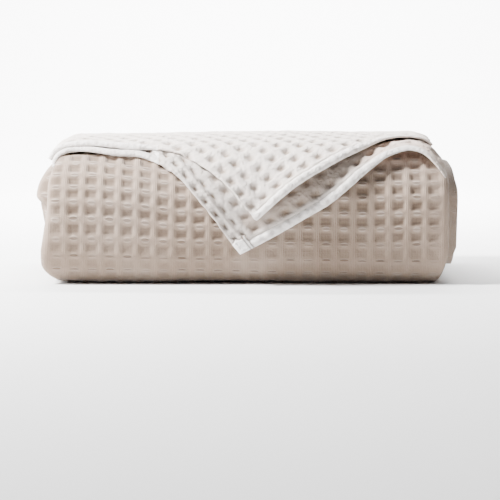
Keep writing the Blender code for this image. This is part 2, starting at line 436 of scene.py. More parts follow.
    def turn_points(self, run: Run, following: Run, fineness: int = 48) -> np.ndarray:
        """The way of the strip round the fold between two runs.

        Args:
            run: The run before the fold.
            following: The run after it.
            fineness: How many steps an arc has.

        Returns:
            Rows of y, z, out_y, out_z, left and right.
        """
        low, high = sorted((run.level, following.level))
        if run.turn is Turn.FRONT:
            foremost, top, bottom = self.front_fold(low, high)
            arcs = (
                (foremost + top, self.level_height(high) - top, top, 90, 180),
                (foremost + bottom, self.level_height(low) + bottom, bottom, 180, 270),
            )
            first = high
        else:
            radius = (self.level_height(high) - self.level_height(low)) / 2
            centre = (self.back_centres[(low, high)], self.level_height(low) + radius)
            arcs = ((*centre, radius, -90, 90),)
            first = low
        rows = []
        for centre_y, centre_z, radius, start, end in arcs:
            angle = np.radians(np.linspace(start, end, fineness + 1))
            out_y, out_z = np.cos(angle), np.sin(angle)
            rows.append(
                np.stack([centre_y + radius * out_y, centre_z + radius * out_z, out_y, out_z], 1)
            )
        points = np.concatenate(rows)
        if run.level != first:
            points = points[::-1] * (1, 1, -1, -1)
        gone = np.concatenate([[0.0], np.cumsum(np.hypot(*np.diff(points[:, :2], axis=0).T))])
        left, right = self.turn_reach(run, following, gone / gone[-1])
        return np.column_stack([points, left, right])

    def route(self) -> Route:
        """The whole way of the strip, from the open end of the top level."""
        rows = []
        starts: dict[str, int] = {}
        for run, following in zip(self.runs, [*self.runs[1:], None]):
            onward = -1 if run.turn is Turn.FRONT else 1
            height = self.level_height(run.level)
            begin = self.open_end if not rows else rows[-1][-1, 0]
            turn = self.turn_points(run, following) if following else None
            end = turn[0, 0] if following else self.last_end
            starts[f"level_{run.level}"] = sum(map(len, rows))
            straight = np.linspace(begin, end, self.level_steps)
            side = np.full_like(straight, -onward)
            level = [straight, np.full_like(straight, height), 0 * side, side]
            reach = [np.full_like(straight, run.left), np.full_like(straight, run.right)]
            rows.append(np.column_stack(level + reach))
            if following:
                starts[f"turn_{run.level}_{following.level}"] = sum(map(len, rows))
                rows.append(turn)
        table = np.concatenate(rows)
        steps = np.hypot(*np.diff(table[:, :2], axis=0).T)
        length = np.concatenate([[0.0], np.cumsum(steps)])
        keep = np.concatenate([[True], steps > 1e-7])
        length -= length[starts["turn_7_0"]]
        places = {name: float(length[number]) for name, number in starts.items()}
        return Route(length[keep], *table[keep].T, starts=places)


# Meshes from grids


@dataclass(frozen=True)
class Sheet:
    """A grid of points on the middle of the cloth, rows by columns.

    Attributes:
        points: x, y and z of each point.
        weave: The place of each point on the weave, in metres, with ridges a pitch apart.
        hems: How far each point is from the hemmed edge on its left and on its right.
        thickness: The thickness of the cloth at each point.
    """

    points: np.ndarray
    weave: np.ndarray
    hems: np.ndarray
    thickness: np.ndarray

    def build(self, name: str, material: bpy.types.Material) -> bpy.types.Object:
        """The sheet as an object, its thickness put on by a modifier.

        Args:
            name: The piece's name.
            material: Its finish.

        Returns:
            The new object.
        """
        rows, columns = self.points.shape[:2]
        bm = bmesh.new()
        bmesh.ops.create_grid(bm, x_segments=columns - 1, y_segments=rows - 1, size=0.5)
        mesh = bpy.data.meshes.new(name)
        bm.to_mesh(mesh)
        bm.free()
        flat = np.empty(len(mesh.vertices) * 3, np.float32)
        mesh.vertices.foreach_get("co", flat)
        place = flat.reshape(-1, 3) + 0.5
        column = np.rint(place[:, 0] * (columns - 1)).astype(int)
        row = np.rint(place[:, 1] * (rows - 1)).astype(int)
        mesh.vertices.foreach_set("co", self.points[row, column].astype(np.float32).ravel())
        corners = np.empty(len(mesh.loops), np.int32)
        mesh.loops.foreach_get("vertex_index", corners)
        for layer_name, values in (("weave", self.weave), ("hems", self.hems)):
            layer = mesh.uv_layers.new(name=layer_name)
            spread = values[row, column][corners].astype(np.float32)
            layer.uv.foreach_set("vector", spread.ravel())
        mesh.update()
        mesh.materials.append(material)
        mesh.shade_smooth()
        piece = bpy.data.objects.new(name, mesh)
        bpy.context.scene.collection.objects.link(piece)
        self.thicken(piece, self.thickness[row, column])
        return piece

    @staticmethod
    def thicken(piece: bpy.types.Object, thickness: np.ndarray) -> None:
        """Gives each vertex of a piece its thickness, through a vertex group."""
        most = float(thickness.max())
        group = piece.vertex_groups.new(name="thickness")
        share = np.round(thickness / most, 2)
        for value in np.unique(share):
            group.add(np.flatnonzero(share == value).tolist(), float(value), "REPLACE")
        solid = piece.modifiers.new("cloth_thickness", "SOLIDIFY")
        solid.thickness = most
        solid.offset = 0.0
        solid.vertex_group = group.name


def surface_normals(points: np.ndarray) -> np.ndarray:
    """Unit normals of a grid of points, rows by columns."""
    normal = np.cross(np.gradient(points, axis=0), np.gradient(points, axis=1))
    return normal / np.maximum(np.linalg.norm(normal, axis=-1, keepdims=True), 1e-12)


def off_the_floor(points: np.ndarray, thickness: np.ndarray) -> np.ndarray:
    """The points, with the ridges pressed flat where the cloth lies on the floor."""
    lowest = thickness / 2 + FLOOR_CLEARANCE
    height = np.maximum(points[..., 2], lowest)
    return np.concatenate([points[..., :2], height[..., None]], axis=-1)


# The strip


class Steps(Enum):
    """Where the outermost ply is finely divided across: all over, or only at its ends."""

    FINE = "fine"
    ENDS = "ends"


@dataclass(frozen=True)
class StripPart:
    """A length of the strip that is one piece.

    Attributes:
        name: The piece's name.
        start: Where it starts, along the strip from the line where the top rounds over.
        end: Where it ends.
        fineness: How many steps there are to a cell of the weave.
        steps: How the outermost ply is divided across.
        relief: The share of the weave's relief that the mesh holds.
        lies_on: The name of the piece that it lies on or round. It is not used.
        marked: Whether its rows of cells lie where FRONT_ROWS says.
    """

    name: str
    start: float
    end: float
    fineness: int
    steps: Steps
    relief: float
    lies_on: str
    marked: bool = False


@dataclass(frozen=True)
class RowMarks:
    """The heights of the middles of the cells' rows on the front, at one place across the pack.

    Attributes:
        across: The place across.
        heights: The height of each row's middle, from the top down.
    """

    across: float
    heights: tuple[float, ...]


# The front's rows of cells, read off the photograph at four places across, in metres
FRONT_ROWS = (
    RowMarks(-0.136, (0.1075, 0.0989, 0.0886, 0.0783, 0.0654, 0.0490, 0.0318, 0.0198, 0.0095)),
    RowMarks(-0.098, (0.1035, 0.0950, 0.0866, 0.0757, 0.0632, 0.0478, 0.0305, 0.0187, 0.0095)),
    RowMarks(-0.059, (0.0989, 0.0907, 0.0817, 0.0705, 0.0576, 0.0447, 0.0292, 0.0176, 0.0095)),
    RowMarks(0.130, (0.1010, 0.0925, 0.0817, 0.0688, 0.0554, 0.0419, 0.0267, 0.0149, 0.0065)),
)
# The number of the first of them: its middle is half a cell from the ridges at 2 and 3
FIRST_ROW = 2.5


def front_cells(
    across: np.ndarray, along: np.ndarray, height: np.ndarray, pitch: float
) -> np.ndarray:
    """Places along the weave of the front, where its rows lie as unevenly as real cloth's.

    Args:
        across: Places across the pack, rows by columns.
        along: Lengths along the strip, the same shape.
        height: Heights of the surface, the same shape.
        pitch: From one row to the next above the first and below the last mark.

    Returns:
        Places along the weave, in metres.
    """
    numbers = FIRST_ROW + np.arange(len(FRONT_ROWS[0].heights))
    table = np.array([marks.heights for marks in FRONT_ROWS])
    places = np.array([marks.across for marks in FRONT_ROWS])
    cells = np.empty_like(along)
    for column in range(along.shape[1]):
        middle = float(across[:, column].mean())
        heights = np.array([np.interp(middle, places, row) for row in table.T])
        marks = np.interp(-heights, -height[:, column], along[:, column])
        before = np.minimum(along[:, column] - marks[0], 0.0) / pitch
        after = np.maximum(along[:, column] - marks[-1], 0.0) / pitch
        cells[:, column] = np.interp(along[:, column], marks, numbers) + before + after
    return cells * pitch


@dataclass(frozen=True)
class Column:
    """A column of the strip's mesh. Its places are linear in the reach of the strip's two ends.

    Attributes:
        across: Its place across the pack, as (constant, times the left reach, times the right).
        flat: Its place on the flat cloth, in the same way.
        out: Its place out of the middle of the strip.
        relief: The share of the weave's relief there.
    """

    across: tuple[float, float, float]
    flat: tuple[float, float, float]
    out: float
    relief: float = 0.0


@dataclass
class Strip:
    """The four-ply strip, carried along its route.

    Attributes:
        pack: The pack that it is folded into.
        cloth: Its cloth.
        route: Its way.
        lower_hem_back: How far short of the right end the innermost ply's hem lies.
        upper_hem_back: The same for the hem of the ply over it.
        inner_steps: How many steps an inner ply has across.
        fold_steps: How many steps its narrow lengthwise folds have.
        wide_fold_steps: How many steps the wide one has.
        stretch_from: From where across the columns spread to follow the ends' reach.
        stretch_steps: How many columns do.
        fine_end: How much of the even columns at each end is fine where the middle isn't.
        fade: Over what length the relief fades towards that middle.
        end_relief: How much of the relief the very ends keep, before it is smoothed.
        pressed_least: The share of the relief that is left where the pack's weight presses most.
        pressed_from: The height from which it recovers.
        pressed_length: Over what height it does.
        pressed_waver: How unevenly it is pressed.
    """

    pack: Pack
    cloth: Cloth
    route: Route
    lower_hem_back: float = 0.0015
    upper_hem_back: float = 0.007
    inner_steps: int = 10
    fold_steps: int = 6
    wide_fold_steps: int = 10
    stretch_from: float = 0.150
    stretch_steps: int = 9
    fine_end: float = 0.024
    fade: float = 0.012
    end_relief: float = 0.3
    pressed_least: float = 0.45
    pressed_from: float = 0.015
    pressed_length: float = 0.04
    pressed_waver: float = 0.25

    def ply(
        self,
        start: tuple[float, float, float],
        end: tuple[float, float, float],
        out: float,
        flat_turn: int,
        flat_shift: tuple[float, float, float],
    ) -> list[Column]:
        """The columns of an inner ply, coarse and without relief.

        Args:
            start: Its first place across.
            end: Its last place across.
            out: Its place out of the middle of the strip.
            flat_turn: 1 where the ply faces as the outermost one does, -1 where it is turned.
            flat_shift: What is added to the place across to give the place on the flat cloth.

        Returns:
            The columns in order.
        """
        columns = []
        for share in np.linspace(0.0, 1.0, self.inner_steps + 1):
            across = tuple(between(a, b, share) for a, b in zip(start, end))
            flat = tuple(flat_turn * a + shift for a, shift in zip(across, flat_shift))
            columns.append(Column(across, flat, out))
        return columns

    def fold(
        self,
        centre: tuple[float, float, float],
        out: float,
        radius: float,
        angles: tuple[float, float],
        flat_start: tuple[float, float, float],
        count: int,
    ) -> list[Column]:
        """The columns of a lengthwise fold, without its two ends.

        Args:
            centre: Its centre across.
            out: Its centre's place out of the middle of the strip.
            radius: Of the ply's middle.
            angles: Where it starts and ends, in degrees from straight to the right.
            flat_start: Where it starts on the flat cloth.
            count: How many steps it has.

        Returns:
            The columns in order.
        """
        columns = []
        for number in range(1, count):
            angle = math.radians(between(*angles, number / count))
            gone = radius * abs(angle - math.radians(angles[0]))
            across = (centre[0] + radius * math.cos(angle), *centre[1:])
            flat = (flat_start[0] + gone, *flat_start[1:])
            columns.append(Column(across, flat, out + radius * math.sin(angle)))
        return columns

    def outermost(self, fineness: int, steps: Steps) -> list[Column]:
        """The columns of the outermost ply, from the wide fold to the narrow one.

        Args:
            fineness: How many steps there are to a cell of the weave.
            steps: Where it is finely divided.

        Returns:
            The columns in order.
        """
        wide, narrow = self.pack.wide_fold, self.pack.narrow_fold
        step = self.cloth.pitch / fineness
        first = math.ceil((-self.stretch_from - WEAVE_ACROSS) / step)
        last = math.floor((self.stretch_from - WEAVE_ACROSS) / step)
        places = WEAVE_ACROSS + step * np.arange(first, last + 1)
        if steps is Steps.ENDS:
            near_end = np.abs(places) > self.stretch_from - self.fine_end
            every = np.arange(len(places)) % (2 * fineness) == 0
            places = places[near_end | every]
        ease = np.linspace(0.0, 1.0, self.stretch_steps, endpoint=False)
        table = [(wide + (places[0] - wide) * e, e - 1.0, 0.0) for e in ease]
        table += [(place, 0.0, 0.0) for place in places]
        table += [(-narrow + (places[-1] + narrow) * e, 0.0, 1.0 - e) for e in ease[::-1]]
        table.append((-narrow, 0.0, 1.0))
        columns = []
        for number, across in enumerate(table):
            inward = min(number, len(table) - 1 - number) / self.stretch_steps
            relief = float(smooth(inward + self.end_relief))
            middle = self.stretch_from - self.fine_end - abs(across[0])
            if steps is Steps.ENDS and not (across[1] or across[2]):
                relief *= float(smooth(1 - middle / self.fade))
            columns.append(Column(across, across, 1.5 * self.pack.ply_pitch, relief))
        return columns

    def columns(self, fineness: int, steps: Steps) -> list[Column]:
        """All the columns of the section, from the hem of the innermost ply."""
        wide, narrow, pitch = self.pack.wide_fold, self.pack.narrow_fold, self.pack.ply_pitch
        at_left, at_right = (wide, -1.0, 0.0), (-narrow, 0.0, 1.0)
        round_wide, round_narrow = math.pi * wide, math.pi * narrow
        second = round_narrow - 2 * narrow
        third = second + round_narrow - 2 * wide
        return [
            *self.ply((-self.lower_hem_back, 0.0, 1.0), at_left, -1.5 * pitch, -1,
                      (2 * wide - round_wide, -2.0, 0.0)),
            *self.fold(at_left, 0.0, wide, (270, 90), (wide - round_wide, -1.0, 0.0),
                       self.wide_fold_steps),
            *self.outermost(fineness, steps),
            *self.fold(at_right, pitch, narrow, (90, -90), at_right, self.fold_steps),
            *self.ply(at_right, at_left, 0.5 * pitch, -1, (second, 0.0, 2.0)),
            *self.fold(at_left, 0.0, narrow, (90, 270), (second - wide, 1.0, 2.0),
                       self.fold_steps),
            *self.ply(at_left, (-self.upper_hem_back, 0.0, 1.0), -0.5 * pitch, 1,
                      (third, 2.0, 2.0)),
        ]

    def stations(self, part: StripPart) -> np.ndarray:
        """Places along the strip for the rows, in step with the weave."""
        step = self.cloth.pitch / part.fineness
        first = math.floor((part.start - WEAVE_ALONG) / step) + 1
        last = math.ceil((part.end - WEAVE_ALONG) / step) - 1
        inner = WEAVE_ALONG + step * np.arange(first, last + 1)
        inner = inner[(inner > part.start + step / 4) & (inner < part.end - step / 4)]
        return np.concatenate([[part.start], inner, [part.end]])

    def sheet(self, part: StripPart) -> Sheet:
        """The grid of one length of the strip, its relief pressed flatter low down."""
        along = self.stations(part)
        y, z, out_y, out_z, left, right = (column[:, None] for column in self.route.at(along))
        columns = self.columns(part.fineness, part.steps)
        table = np.array([(*c.across, *c.flat, c.out, c.relief) for c in columns]).T
        across = table[0] + table[1] * left + table[2] * right
        flat = table[3] + table[4] * left + table[5] * right
        length = np.broadcast_to(along[:, None], across.shape)
        out = table[6] + unevenness(across, length)
        points = self.pack.settle(np.stack([across, y + out * out_y, z + out * out_z], axis=-1))
        on_weave = length - WEAVE_ALONG
        if part.marked:
            on_weave = front_cells(across, length, points[..., 2], self.cloth.pitch)
        weave = self.cloth.cells(flat - WEAVE_ACROSS, on_weave, seed=0.7)
        free = smooth((points[..., 2] - self.pressed_from) / self.pressed_length)
        pressed = between(self.pressed_least, 1.0, free)
        pressed = pressed * (1 + self.pressed_waver * ripple(across, length, seed=3.3))
        relief = self.cloth.height(weave) * table[7] * part.relief * pressed
        points = points + surface_normals(points) * relief[..., None]
        thickness = np.full(across.shape, self.cloth.thickness)
        edge = np.minimum(flat - flat[:, :1], flat[:, -1:] - flat)
        end = np.minimum(length - self.route.length[0], self.route.length[-1] - length)
        return Sheet(off_the_floor(points, thickness), weave, np.stack([edge, end], -1), thickness)

    def parts(self) -> list[StripPart]:
        """The lengths into which the strip is divided."""
        at, length = self.route.starts, self.route.length
        top, under, past_back, past_inner = 0.045, 0.020, 0.012, 0.010
        front_start, front_end = at["turn_7_0"] - top, at["level_0"] + under
        back_start, back_end = at["turn_0_3"] - past_back, at["level_3"] + past_back
        upper_start, upper_end = at["turn_4_5"] - past_back, at["level_5"] + past_back
        inner_start, inner_end = at["turn_1_6"] - past_inner, at["level_6"] + past_inner
        rows = (
            ("top_level", length[0], front_start, 4, Steps.ENDS, "open_level"),
            ("front_fold", front_start, front_end, 10, Steps.FINE, "inner_front_fold"),
            ("underside", front_end, back_start, 4, Steps.FINE, "floor"),
            ("back_fold", back_start, back_end, 8, Steps.FINE, "inner_levels"),
            ("middle_levels", back_end, upper_start, 4, Steps.ENDS, "inner_levels"),
            ("upper_back_fold", upper_start, upper_end, 8, Steps.FINE, "middle_levels"),
            ("inner_levels", upper_end, inner_start, 4, Steps.ENDS, "underside"),
            ("inner_front_fold", inner_start, inner_end, 8, Steps.ENDS, "inner_levels"),
            ("open_level", inner_end, length[-1], 4, Steps.ENDS, "inner_levels"),
        )
        full_relief_from, coarse_relief = 8, 0.6
        parts = []
        for name, start, end, fineness, steps, lies_on in rows:
            relief = 1.0 if fineness >= full_relief_from else coarse_relief
            marked = name == "front_fold"
            parts.append(StripPart(name, start, end, fineness, steps, relief, lies_on, marked))
        return parts


# The corners

# The distance from a hem that stands for none being near
FAR = 0.05


@dataclass(frozen=True)
class Edge:
    """A point of a corner's front edge.

    Attributes:
        across: Its place across the pack.
        forward: How far the cloth comes forward there, past the line where the top rounds over.
        lift: How far the edge stands off what is under it.
    """

    across: float
    forward: float
    lift: float


def curve(at: np.ndarray, places: np.ndarray, values: np.ndarray) -> np.ndarray:
    """A smooth curve through points, read at some places and level beyond its ends.

    Args:
        at: Where to read it.
        places: The places of its points, rising.
        values: Their values.

    Returns:
        Its value at each place.
    """
    at = np.clip(at, places[0], places[-1])
    slopes = np.gradient(values, places)
    near = np.clip(np.searchsorted(places, at) - 1, 0, len(places) - 2)
    step = places[near + 1] - places[near]
    share = (at - places[near]) / step
    start = (1 + 2 * share) * (1 - share) ** 2 * values[near]
    start += share * (1 - share) ** 2 * step * slopes[near]
    end = share**2 * (3 - 2 * share) * values[near + 1]
    end += share**2 * (share - 1) * step * slopes[near + 1]
    return start + end


@dataclass(frozen=True)
class Hems:
    """The two hems of a corner, and the rounded square where they cross.

    Attributes:
        left: The width of the flat hem on the left, which shows the weave through it.
        right: The width of the plain, rolled hem on the right.
        square: The side of the square at the tip.
        left_slope: How steeply the left edge runs, forward for each step across.
        right_slope: The same for the right edge.
        left_end: Where the left hem ends across, and the edge goes on as a soft fold.
        puff: How much thicker a roll is than the cloth, on each side.
        roll_tail: How far a roll's inner side runs out, in halves of its width.
        soften: Over what length a hem goes over into the cloth.
        slack: How far past the left hem's line its cloth still counts as hem.
        fold_change: Over what length the left hem goes over into the soft fold.
        fade_start: Where across the right roll starts to thin.
        fade_length: Over what length it does.
        fade_roll: The share of the roll that is left there.
        fade_width: By what share its plain cloth narrows.
        left_relief: How much higher the weave stands on the doubled left hem.
        left_thickness: How much thicker that hem is.
        square_puff: How far the square stands up on each side.
        square_thickness: How much thicker its cloth is besides.
        bump_pitch: From one bump of a roll to the next, in cells.
        bump_height: How high they are, as a share of the roll.
        bump_waver: How uneven they are, in the same way.
        valley_place: How far past the square's side the roll is pinched.
        valley_width: Half the width of that pinch.
        valley_depth: The share of the roll that it takes away.
        edge_width: How far in from an edge the cloth reaches its thickness.
        edge_share: The share of its thickness that the very edge has.
        cell_places: Distances from the left edge that the weave is pulled to.
        cell_numbers: The cell at each of those places, with ridges at whole numbers.
    """

    left: float = 0.0100
    right: float = 0.0084
    square: float = 0.0135
    left_slope: float = 1.52
    right_slope: float = -0.66
    left_end: float = -0.078
    puff: float = 0.0013
    roll_tail: float = 1.3
    soften: float = 0.0018
    slack: float = 0.002
    fold_change: float = 0.02
    fade_start: float = 0.085
    fade_length: float = 0.05
    fade_roll: float = 0.1
    fade_width: float = 0.8
    left_relief: float = 0.25
    left_thickness: float = 0.0006
    square_puff: float = 0.0009
    square_thickness: float = 0.0016
    bump_pitch: float = 0.62
    bump_height: float = 0.22
    bump_waver: float = 0.35
    valley_place: float = 0.0008
    valley_width: float = 0.0016
    valley_depth: float = 0.8
    edge_width: float = 0.0022
    edge_share: float = 0.5
    cell_places: tuple[float, ...] = (-0.010, 0.0, 0.005, 0.010, 0.0134, 0.0180)
    cell_numbers: tuple[float, ...] = (-2.0, -1.0, -0.5, 0.0, 0.5, 1.0)

    def inside(self, distance: np.ndarray, width: float) -> np.ndarray:
        """1 within a hem's width of its edge, 0 outside, smooth between."""
        return 1.0 - smooth((distance - width) / self.soften)

    def folded(self, across: np.ndarray) -> np.ndarray:
        """1 where the left edge has gone over into the soft fold, 0 where it is hemmed."""
        return smooth((self.left_end - across) / self.fold_change)

    def faded(self, across: np.ndarray) -> np.ndarray:
        """0 where the right roll is full, 1 where it has thinned."""
        return smooth((across - self.fade_start) / self.fade_length)

    def roll(self, distance: np.ndarray) -> np.ndarray:
        """The profile of a rolled hem: round at its edge, soft where it meets the cloth."""
        middle = distance / self.right * 2 - 1
        outer = np.sqrt(np.clip(1 - middle**2, 0.0, 1.0))
        return np.where(middle < 0, outer, 1.0 - smooth(middle / self.roll_tail))

    def cells(self, distance: np.ndarray, pitch: float) -> np.ndarray:
        """Places along the weave at distances from the left edge, pulled in by the hem."""
        inner = np.interp(distance, self.cell_places, self.cell_numbers) * pitch
        before = np.minimum(distance - self.cell_places[0], 0.0)
        return inner + before + np.maximum(distance - self.cell_places[-1], 0.0)


@dataclass(frozen=True)
class HemZones:
    """Where the points of a corner lie in its hems, as arrays.

    Attributes:
        from_left: How far from the left hem's line.
        from_right: How far from the right hem's line.
        from_left_hem: How far from the left hem's edge, FAR where there is no such hem.
        from_roll: How far from the edge that is rolled, on the right or along the soft fold.
        in_left: 1 in the left hem, 0 outside.
        in_right: 1 in the roll, 0 outside.
        square: 1 in the square at the tip, 0 outside.
    """

    from_left: np.ndarray
    from_right: np.ndarray
    from_left_hem: np.ndarray
    from_roll: np.ndarray
    in_left: np.ndarray
    in_right: np.ndarray
    square: np.ndarray


@dataclass
class Corner:
    """A corner of the cloth, turned over the top of the pack and down its front.

    Attributes:
        name: The piece's name.
        pack: The pack that it lies on.
        cloth: Its cloth.
        edges: Its front edge, from left to right.
        start_out: How far out of the top level's middle the ply lies that it grows from.
        rest_out: How far out of it the corner lies.
        fine_from: From where forward its mesh is fine.
        lies_on: The name of the piece that it lies on. It is not used.
        under: The corner below it, which lifts it too.
        hems: Its hems.
        seamed: Whether the seam of its left hem shows.
        fineness: How many steps there are to a cell of the weave.
        crumple: How unevenly it lies, in metres.
        lift_length: Over what length it comes to stand off.
        left_shoulder: Where it starts to bend down over the left end of the pack.
        left_radius: The radius of that bend.
        right_shoulder: Where it starts to bend down over the right end.
        right_radius: The radius of that bend.
        right_spread: How far that place moves out towards the front, with the fold below it.
        spread_length: Over what length it does.
        straight_end: Where the right hem stops following its threads.
        back_tuck: How far it turns back past the open end of the top level.
        back_steps: How many steps the turn at the back has.
        level_end: Up to where forward its rows run straight across the pack.
        hem_zone: How far back from its edge its rows are close together.
        hem_rows: How many rows there are in that zone.
    """

    name: str
    pack: Pack
    cloth: Cloth
    edges: Sequence[Edge]
    start_out: float
    rest_out: float
    fine_from: float
    lies_on: str
    under: Corner | None = None
    hems: Hems = Hems()
    seamed: bool = True
    fineness: int = 9
    crumple: float = 0.0005
    lift_length: float = 0.055
    left_shoulder: float = 0.158
    left_radius: float = 0.012
    right_shoulder: float = 0.150
    right_radius: float = 0.018
    right_spread: float = 0.013
    spread_length: float = 0.055
    straight_end: float = 0.120
    back_tuck: float = 0.003
    back_steps: int = 8
    level_end: float = -0.030
    hem_zone: float = 0.018
    hem_rows: int = 18

    @property
    def tip(self) -> Edge:
        """The edge's foremost point."""
        return max(self.edges, key=lambda edge: edge.forward)

    @property
    def back(self) -> float:
        """Where its back edge lies, counted forward like the rest."""
        return self.pack.crest()[0] - self.pack.open_end - self.back_tuck

    def read_edge(self, column: str, across: np.ndarray) -> np.ndarray:
        """One column of the table of edges, as a curve that is sharp only at the tip."""
        tip = self.edges.index(self.tip)
        sides = (self.edges[: tip + 1], self.edges[tip:])
        left, right = (
            curve(
                across,
                np.array([edge.across for edge in side]),
                np.array([getattr(edge, column) for edge in side]),
            )
            for side in sides
        )
        return np.where(across < self.tip.across, left, right)

    def stand_off(self, across: np.ndarray, along: np.ndarray) -> np.ndarray:
        """How far the corner stands off what is under it."""
        forward = self.read_edge("forward", across)
        lift = np.maximum(self.read_edge("lift", across), 0.0)
        return lift * smooth((along - forward + self.lift_length) / self.lift_length)

    def lifted(self, across: np.ndarray, along: np.ndarray) -> np.ndarray:
        """How far out of the top level's middle the corner lies."""
        out = self.rest_out + self.stand_off(across, along) + unevenness(across, along)
        return out + self.under.stand_off(across, along) if self.under else out

    def place(self, across: np.ndarray, along: np.ndarray, out: np.ndarray) -> np.ndarray:
        """Points of the corner before the pack settles.

        Args:
            across: Places across the cloth.
            along: How far forward of the line where the top rounds over.
            out: How far out of the top level's middle.

        Returns:
            An array of x, y and z.
        """
        spread = self.right_spread * smooth(along / self.spread_length)
        start = np.where(across < 0, self.left_shoulder, self.right_shoulder + spread)
        bend = np.where(across < 0, self.left_radius, self.right_radius)
        bend = bend + np.maximum(out - self.pack.lower_corner_out, 0.0)
        angle = np.maximum(np.abs(across) - start, 0.0) / bend
        x = np.minimum(np.abs(across), start) + bend * np.sin(angle)
        out = out - bend * (1 - np.cos(angle))
        crest_y, crest_z, radius = self.pack.crest()
        reach = radius + out
        turned = np.clip(along / reach, 0.0, math.pi / 2)
        below = np.maximum(along - reach * math.pi / 2, 0.0)
        y = crest_y - np.minimum(along, 0.0) - reach * np.sin(turned)
        z = crest_z - radius + reach * np.cos(turned) - below
        return np.stack([np.copysign(x, across), y, z], axis=-1)

    def hem_zones(self, across: np.ndarray, along: np.ndarray) -> HemZones:
        """Where points lie in the hems, measured in the directions of the threads."""
        hems = self.hems
        left_edge = self.tip.forward + hems.left_slope * (across - self.tip.across)
        middle = np.clip(across, self.tip.across, self.straight_end)
        right_edge = self.read_edge("forward", middle) + hems.right_slope * (across - middle)
        from_left = (left_edge - along) / math.hypot(1, hems.left_slope)
        from_right = (right_edge - along) / math.hypot(1, hems.right_slope)
        folded = hems.folded(across)
        from_left_hem = np.where(from_left < -hems.slack, FAR, from_left + FAR * folded)
        if not self.seamed:
            from_left_hem = np.full_like(from_left, FAR)
        from_edge = self.read_edge("forward", across) - along
        from_end = from_edge / math.hypot(1, hems.right_slope)
        from_roll = np.where(across > self.straight_end, from_end, from_right)
        from_roll = np.where(folded > 0, np.minimum(from_edge, FAR), from_roll)
        square = hems.inside(from_left_hem, hems.square) * hems.inside(from_right, hems.square)
        return HemZones(
            from_left,
            from_right,
            from_left_hem,
            from_roll,
            in_left=hems.inside(from_left_hem, hems.left),
            in_right=hems.inside(from_roll, hems.right),
            square=square,
        )

    def back_rows(self, backs: np.ndarray) -> tuple[list[np.ndarray], list[np.ndarray]]:
        """Points and flat places of the turn at the back, from the ply that it grows from."""
        radius = (self.rest_out - self.start_out) / 2
        rows, flats = [], []
        for angle in np.linspace(0.0, math.pi, self.back_steps + 1)[:-1]:
            forward = np.full_like(backs, self.back - radius * math.sin(angle))
            out = self.start_out + radius * (1 - math.cos(angle)) + unevenness(backs, forward)
            rows.append(self.place(backs, forward, out))
            gone = np.full_like(backs, self.back - radius * (math.pi - angle))
            flats.append(np.stack([backs, gone], axis=-1))
        return rows, flats

    def alongs(self, forward: np.ndarray) -> list[np.ndarray]:
        """How far forward each row lies, from the back of the top level to the edge."""
        step = self.cloth.pitch / self.fineness
        coarse = np.arange(self.back, self.fine_from, 2 * step)
        level = np.concatenate([coarse, np.arange(self.fine_from, self.level_end, step)])
        rows = [np.full_like(forward, along) for along in level]
        inner = forward - self.hem_zone
        count = round((inner.max() - self.level_end) / step)
        rows += [between(self.level_end, inner, share) for share in np.linspace(0, 1, count + 1)]
        for number in range(1, self.hem_rows):
            rows.append(inner + self.hem_zone * number / self.hem_rows)
        return [*rows, forward]

    def grid(self) -> tuple[np.ndarray, np.ndarray]:
        """The points on the middle of the cloth, and their places across and along when flat."""
        step = self.cloth.pitch / self.fineness
        first, last, tip = self.edges[0].across, self.edges[-1].across, self.tip.across
        left = np.linspace(first, tip, round((tip - first) / step) + 1)
        right = np.linspace(tip, last, round((last - tip) / step) + 1)
        fronts = np.concatenate([left, right[1:]])
        top = self.pack.runs[0]
        ends = (self.pack.wide_fold - top.left, top.right - self.pack.narrow_fold)
        backs = np.interp(fronts, (first, last), ends)
        rows, flats = self.back_rows(backs)
        start = self.back
        for along in self.alongs(self.read_edge("forward", fronts)):
            across = between(backs, fronts, smooth((along - start) / -start))
            rows.append(self.place(across, along, self.lifted(across, along)))
            flats.append(np.stack([across, along], axis=-1))
        return self.pack.settle(np.array(rows)), np.array(flats)

    def rolled(self, zones: HemZones, across: np.ndarray) -> np.ndarray:
        """How much thicker the rolled hem and the tip's square are than the cloth, on each side."""
        hems = self.hems
        folded = hems.folded(across)
        bumps = np.sin(math.tau * zones.from_left / (hems.bump_pitch * self.cloth.pitch))
        waver = ripple(5 * zones.from_left, 5 * zones.from_right, seed=2.6)
        bumps = 1 + (1 - folded) * (hems.bump_height * bumps + hems.bump_waver * waver)
        roll = hems.roll(zones.from_roll) * np.where(folded > 0, folded, 1.0)
        roll = roll * between(1.0, hems.fade_roll, hems.faded(across))
        return hems.puff * roll * bumps * (1 - zones.square) + hems.square_puff * zones.square

    def thickness(self, zones: HemZones, puff: np.ndarray) -> np.ndarray:
        """The thickness of the cloth, more in the hems and less at the very edge."""
        hems = self.hems
        beside = np.abs(zones.from_left_hem - hems.square - hems.valley_place) / hems.valley_width
        valley = np.clip(1 - beside, 0.0, 1.0) * zones.in_right
        thickness = self.cloth.thickness + hems.left_thickness * zones.in_left
        thickness = thickness + hems.square_thickness * zones.square
        thickness = thickness + 2 * puff * (1 - hems.valley_depth * valley)
        edge = np.minimum(np.abs(zones.from_left_hem), np.abs(zones.from_roll))
        return thickness * between(hems.edge_share, 1.0, np.sqrt(smooth(edge / hems.edge_width)))

